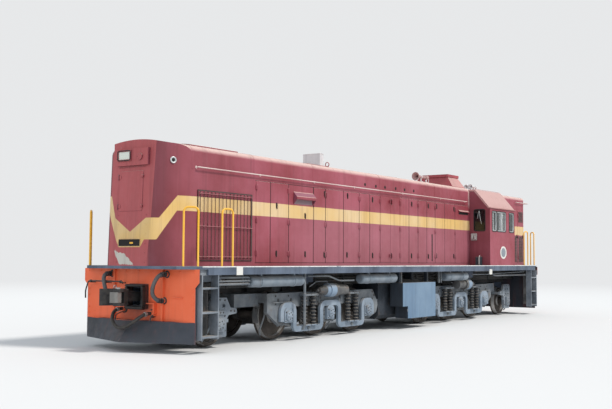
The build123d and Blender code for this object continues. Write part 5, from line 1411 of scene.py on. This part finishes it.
def add_bogie_fittings():
    """Axlebox covers, tie bars, brake rods, sand pipes, frame bolts and motor ducts, on the turning bogie."""
    bright, dark, rods, ducts = (Shapes() for _ in range(4))
    add_axlebox_covers(bright, dark, rods)
    for x in (-4.83, -4.42, -3.42, -2.70, -1.98, -1.30):
        dark.add(*bolts([(x, 0.9295, 0.865), (x, 0.9295, 0.715)], "y", 0.016, 0.012))
        dark.add(lathe([(-0.001, 0.030), (0.004, 0.030), (0.005, 0.026)], (x + 0.08, 0.9295, 0.790), "y", 20))
    for x in (-3.84, -2.26):
        seats = [(x + step, 1.0715, z) for step in (-0.20, 0.0, 0.20) for z in (0.870, 0.281)]
        dark.add(*bolts(seats, "y", 0.010, 0.006))
        rods.add(lathe([(0, 0.036), (0.020, 0.036), (0.026, 0.028)], (x, 0.999, 0.222), "y"))
    for x in (-3.46, -2.64):
        rods.add(bar([(x, 0.905, 0.92), (x, 0.985, 0.90), (x, 0.985, 0.70)], 0.013, 0.03))
    rods.add(bar([(-4.95, 0.965, 0.745), (-4.30, 0.965, 0.745)], 0.012))
    for low, high in ((-3.36, -2.74), (-4.19, -3.52)):
        rods.add(bar([(low, 0.60, 0.245), (high, 0.60, 0.245)], 0.016))
    for x, reach in ((-5.02, -0.09), (-2.52, 0.09)):
        sand = [(x, 0.82, 0.93), (x, 0.82, 0.52), (x - reach, 0.62, 0.20), (x - reach * 1.6, 0.60, 0.12)]
        rods.add(bar(sand, 0.017, 0.06))
    feed = [(-3.29, 1.072, 1.093), (-3.29, 1.072, 1.125), (-3.60, 1.02, 1.125), (-3.72, 0.93, 1.02)]
    rods.add(bar(feed, 0.012, 0.03))
    dark.add(*bolts(circle_points((-3.011, 1.072, 0.950), 0.124, 10, "x"), "x", 0.010, 0.008))
    for low, high in ((-4.95, -4.16), (-3.84, -1.15)):
        ducts.add(box((low, 0.318, 0.722), (high, 0.330, 1.055), 0.004))
        ducts.add(box((low, 0.300, 1.045), (high, 0.345, 1.057), 0.003))
        heads = row((low + 0.06, 0.329, 0.76), (high - 0.06, 0.329, 0.76), int((high - low) * 4))
        ducts.add(*bolts(heads, "y"))
    show_at_ends("bogie", ("axlebox_covers", bright.mirrored(), "spring"),
                 ("bogie_bolts", dark.mirrored(), "dark_steel"), ("bogie_rods", rods.mirrored(), "bogie"),
                 ("motor_ducts", ducts.mirrored(), "dark_steel"))


PONY_AXLE = (-6.375, 0.904, 0.409)
PONY_BOLTS_AT = (
    (-6.490, 0.835), (-6.350, 0.845), (-6.215, 0.835), (-6.515, 0.600), (-6.520, 0.300), (-6.215, 0.300),
    (-6.215, 0.560), (-6.050, 0.640), (-5.950, 0.635),
)


def add_pony_fittings():
    """The guiding truck's axlebox lids, bolts, holes, slotted lug and life guard bar."""
    covers, dark, guard = Shapes(), Shapes(), Shapes()
    covers.add(lathe([(-0.002, 0.100), (0.010, 0.100), (0.016, 0.092), (0.016, 0.040), (0.022, 0.034),
                      (0.023, 0.020)], PONY_AXLE, "y", 36))
    for x in (-6.420, -6.250):
        covers.add(hoop(circle_points((x, 0.862, 0.740), 0.042, 28, "y"), 0.009, "y"))
    covers.add(panel((-6.47, -6.24), (0.585, 0.655), 0.015, 0.859, 0.884, "y", 0.004))
    ring = circle_points((PONY_AXLE[0], 0.919, PONY_AXLE[2]), 0.068, 6, "y", 0.2)
    dark.add(*bolts(ring, "y", 0.011, 0.008))
    dark.add(*bolts([(x, 0.8595, z) for x, z in PONY_BOLTS_AT], "y", 0.014, 0.011))
    dark.add(*bolts(row((-6.43, 0.883, 0.620), (-6.28, 0.883, 0.620), 3), "y", 0.012, 0.009))
    guard.add(bar([(-6.545, 0.830, 0.47), (-6.60, 0.800, 0.30), (-6.600, 0.660, 0.12)], 0.016, 0.06))
    show_at_ends("pony", ("pony_covers", covers.mirrored(), "pony"),
                 ("pony_bolts", dark.mirrored(), "dark_steel"), ("life_guard", guard.mirrored(), "pony"))


# Ends

FACE = -7.475


def add_end_fittings():
    """Socket flanges, bolts, uncoupling rod, striker casting, hose bracket and rails on each headstock."""
    flanges, dark, rods, orange = (Shapes() for _ in range(4))
    for y, z in ((-0.660, 1.300), (0.660, 1.300), (-0.600, 0.860), (0.600, 0.860)):
        flanges.add(lathe([(-0.001, 0.062), (0.012, 0.062), (0.016, 0.054)], (FACE, y, z), "-x", 28))
        flanges.add(lathe([(0, 0.044), (0.030, 0.046), (0.036, 0.040), (0.036, 0.022)], (-7.515, y, z),
                          "-x", 28))
        dark.add(*bolts(circle_points((FACE - 0.013, y, z), 0.050, 4, "x", 0.785), "-x", 0.007, 0.005))
    for y, z in ((0.340, 0.700), (-0.340, 0.640)):
        flanges.add(lathe([(-0.001, 0.075), (0.014, 0.075), (0.018, 0.066)], (FACE, y, z), "-x", 28))
    for side in (1, -1):
        y = sorted((side * 0.215, side * 0.170))
        dark.add(box((-7.600, y[0], 0.745), (-7.530, y[1], 1.085), 0.010))
        heads = row((-7.534, side * 0.195, 0.760), (-7.534, side * 0.195, 1.070), 3)
        dark.add(*bolts(heads, "-x", 0.014, 0.010))
        orange.add(*bolts(row((FACE, side * 1.245, 0.60), (FACE, side * 1.245, 1.03), 5), "-x", 0.013, 0.009))
        heads = row((-7.515, side * 0.58, 0.56), (-7.515, side * 0.58, 1.34), 8)
        orange.add(*bolts(heads, "-x", 0.009, 0.006))
    for low, high in ((0.700, 0.752), (1.084, 1.125)):
        dark.add(box((-7.605, -0.21, low), (-7.530, 0.21, high), 0.010))
    rods.add(bar([(-7.545, 1.270, 0.86), (-7.580, 1.235, 0.99), (-7.580, 1.160, 1.165),
                  (-7.580, 0.300, 1.165), (-7.600, 0.270, 1.140)], 0.013, 0.05))
    for y in (0.42, -0.42):
        rods.add(bar([(-7.62, y, 0.512), (-7.60, y, 0.60), (-7.476, y, 0.64)], 0.011, 0.03))
    for y in (1.10, 0.70, 0.34):
        flanges.add(box((-7.595, y - 0.018, 1.135), (-7.474, y + 0.018, 1.150), 0.003))
        flanges.add(lathe([(-0.016, 0.021), (0.016, 0.021)], (-7.580, y, 1.165), "y", 16))
    orange.add(*bolts(row((FACE, -1.27, 1.345), (FACE, 1.27, 1.345), 9), "-x", 0.013, 0.009))
    orange.add(box((FACE - 0.075, -0.430, 0.600), (FACE + 0.001, -0.405, 0.800), 0.004))
    orange.add(box((FACE - 0.075, -0.430, 0.795), (FACE + 0.001, -0.250, 0.815), 0.004))
    orange.add(box((FACE - 0.024, -1.02, 0.905), (FACE + 0.001, -0.80, 0.925), 0.004))
    show_at_ends(None, ("socket_flanges", flanges, "dark_steel"), ("striker_casting", dark, "coupler"),
                 ("uncoupling_rod", rods, "dark_steel"), ("headstock_bolts", orange, "headstock"))


def add_coupler_fittings():
    """Ribs, a wear plate, pin heads and a lifting ring on each coupler's head."""
    ribs, pins = Shapes(), Shapes()
    for z in (0.800, 1.036):
        ribs.add(box((-7.985, -0.150, z - 0.009), (-7.850, 0.180, z + 0.009), 0.004))
    ribs.add(panel((-7.86, -7.62), (-0.075, 0.075), 0.012, 1.0, 1.012, "z"))
    for y in (-0.10, 0.12):
        ribs.add(box((-7.855, y - 0.012, 0.80), (-7.835, y + 0.012, 1.03), 0.004))
    pins.add(lathe([(0, 0.040), (0.016, 0.040), (0.026, 0.030), (0.030, 0.012)],
                   (-8.070, -0.135, 1.056), "z"))
    pins.add(hoop(circle_points((-7.93, 0.10, 1.085), 0.028, 18, "y"), 0.008, "y"))
    show_at_ends("coupler", ("coupler_ribs", ribs, "coupler"), ("coupler_pins", pins, "bright"))


bpy.context.scene.view_settings.view_transform = "Standard"
set_camera()
set_light()
add_floor()
paint_nodes()
add_cords()
add_side_doors()
add_grille_bars()
add_nose()
add_nose_shoulder()
add_roof_shutters()
add_exhaust_stack()
add_horns()
add_lamps()
add_roof()
add_cab_fixture()
add_windows()
add_round_plates()
add_short_hood_fittings()
add_cab_side_visors()
add_under_deck()
add_equipment_box_trim()
add_step_backs()
add_bogie_fittings()
add_pony_fittings()
add_end_fittings()
add_coupler_fittings()
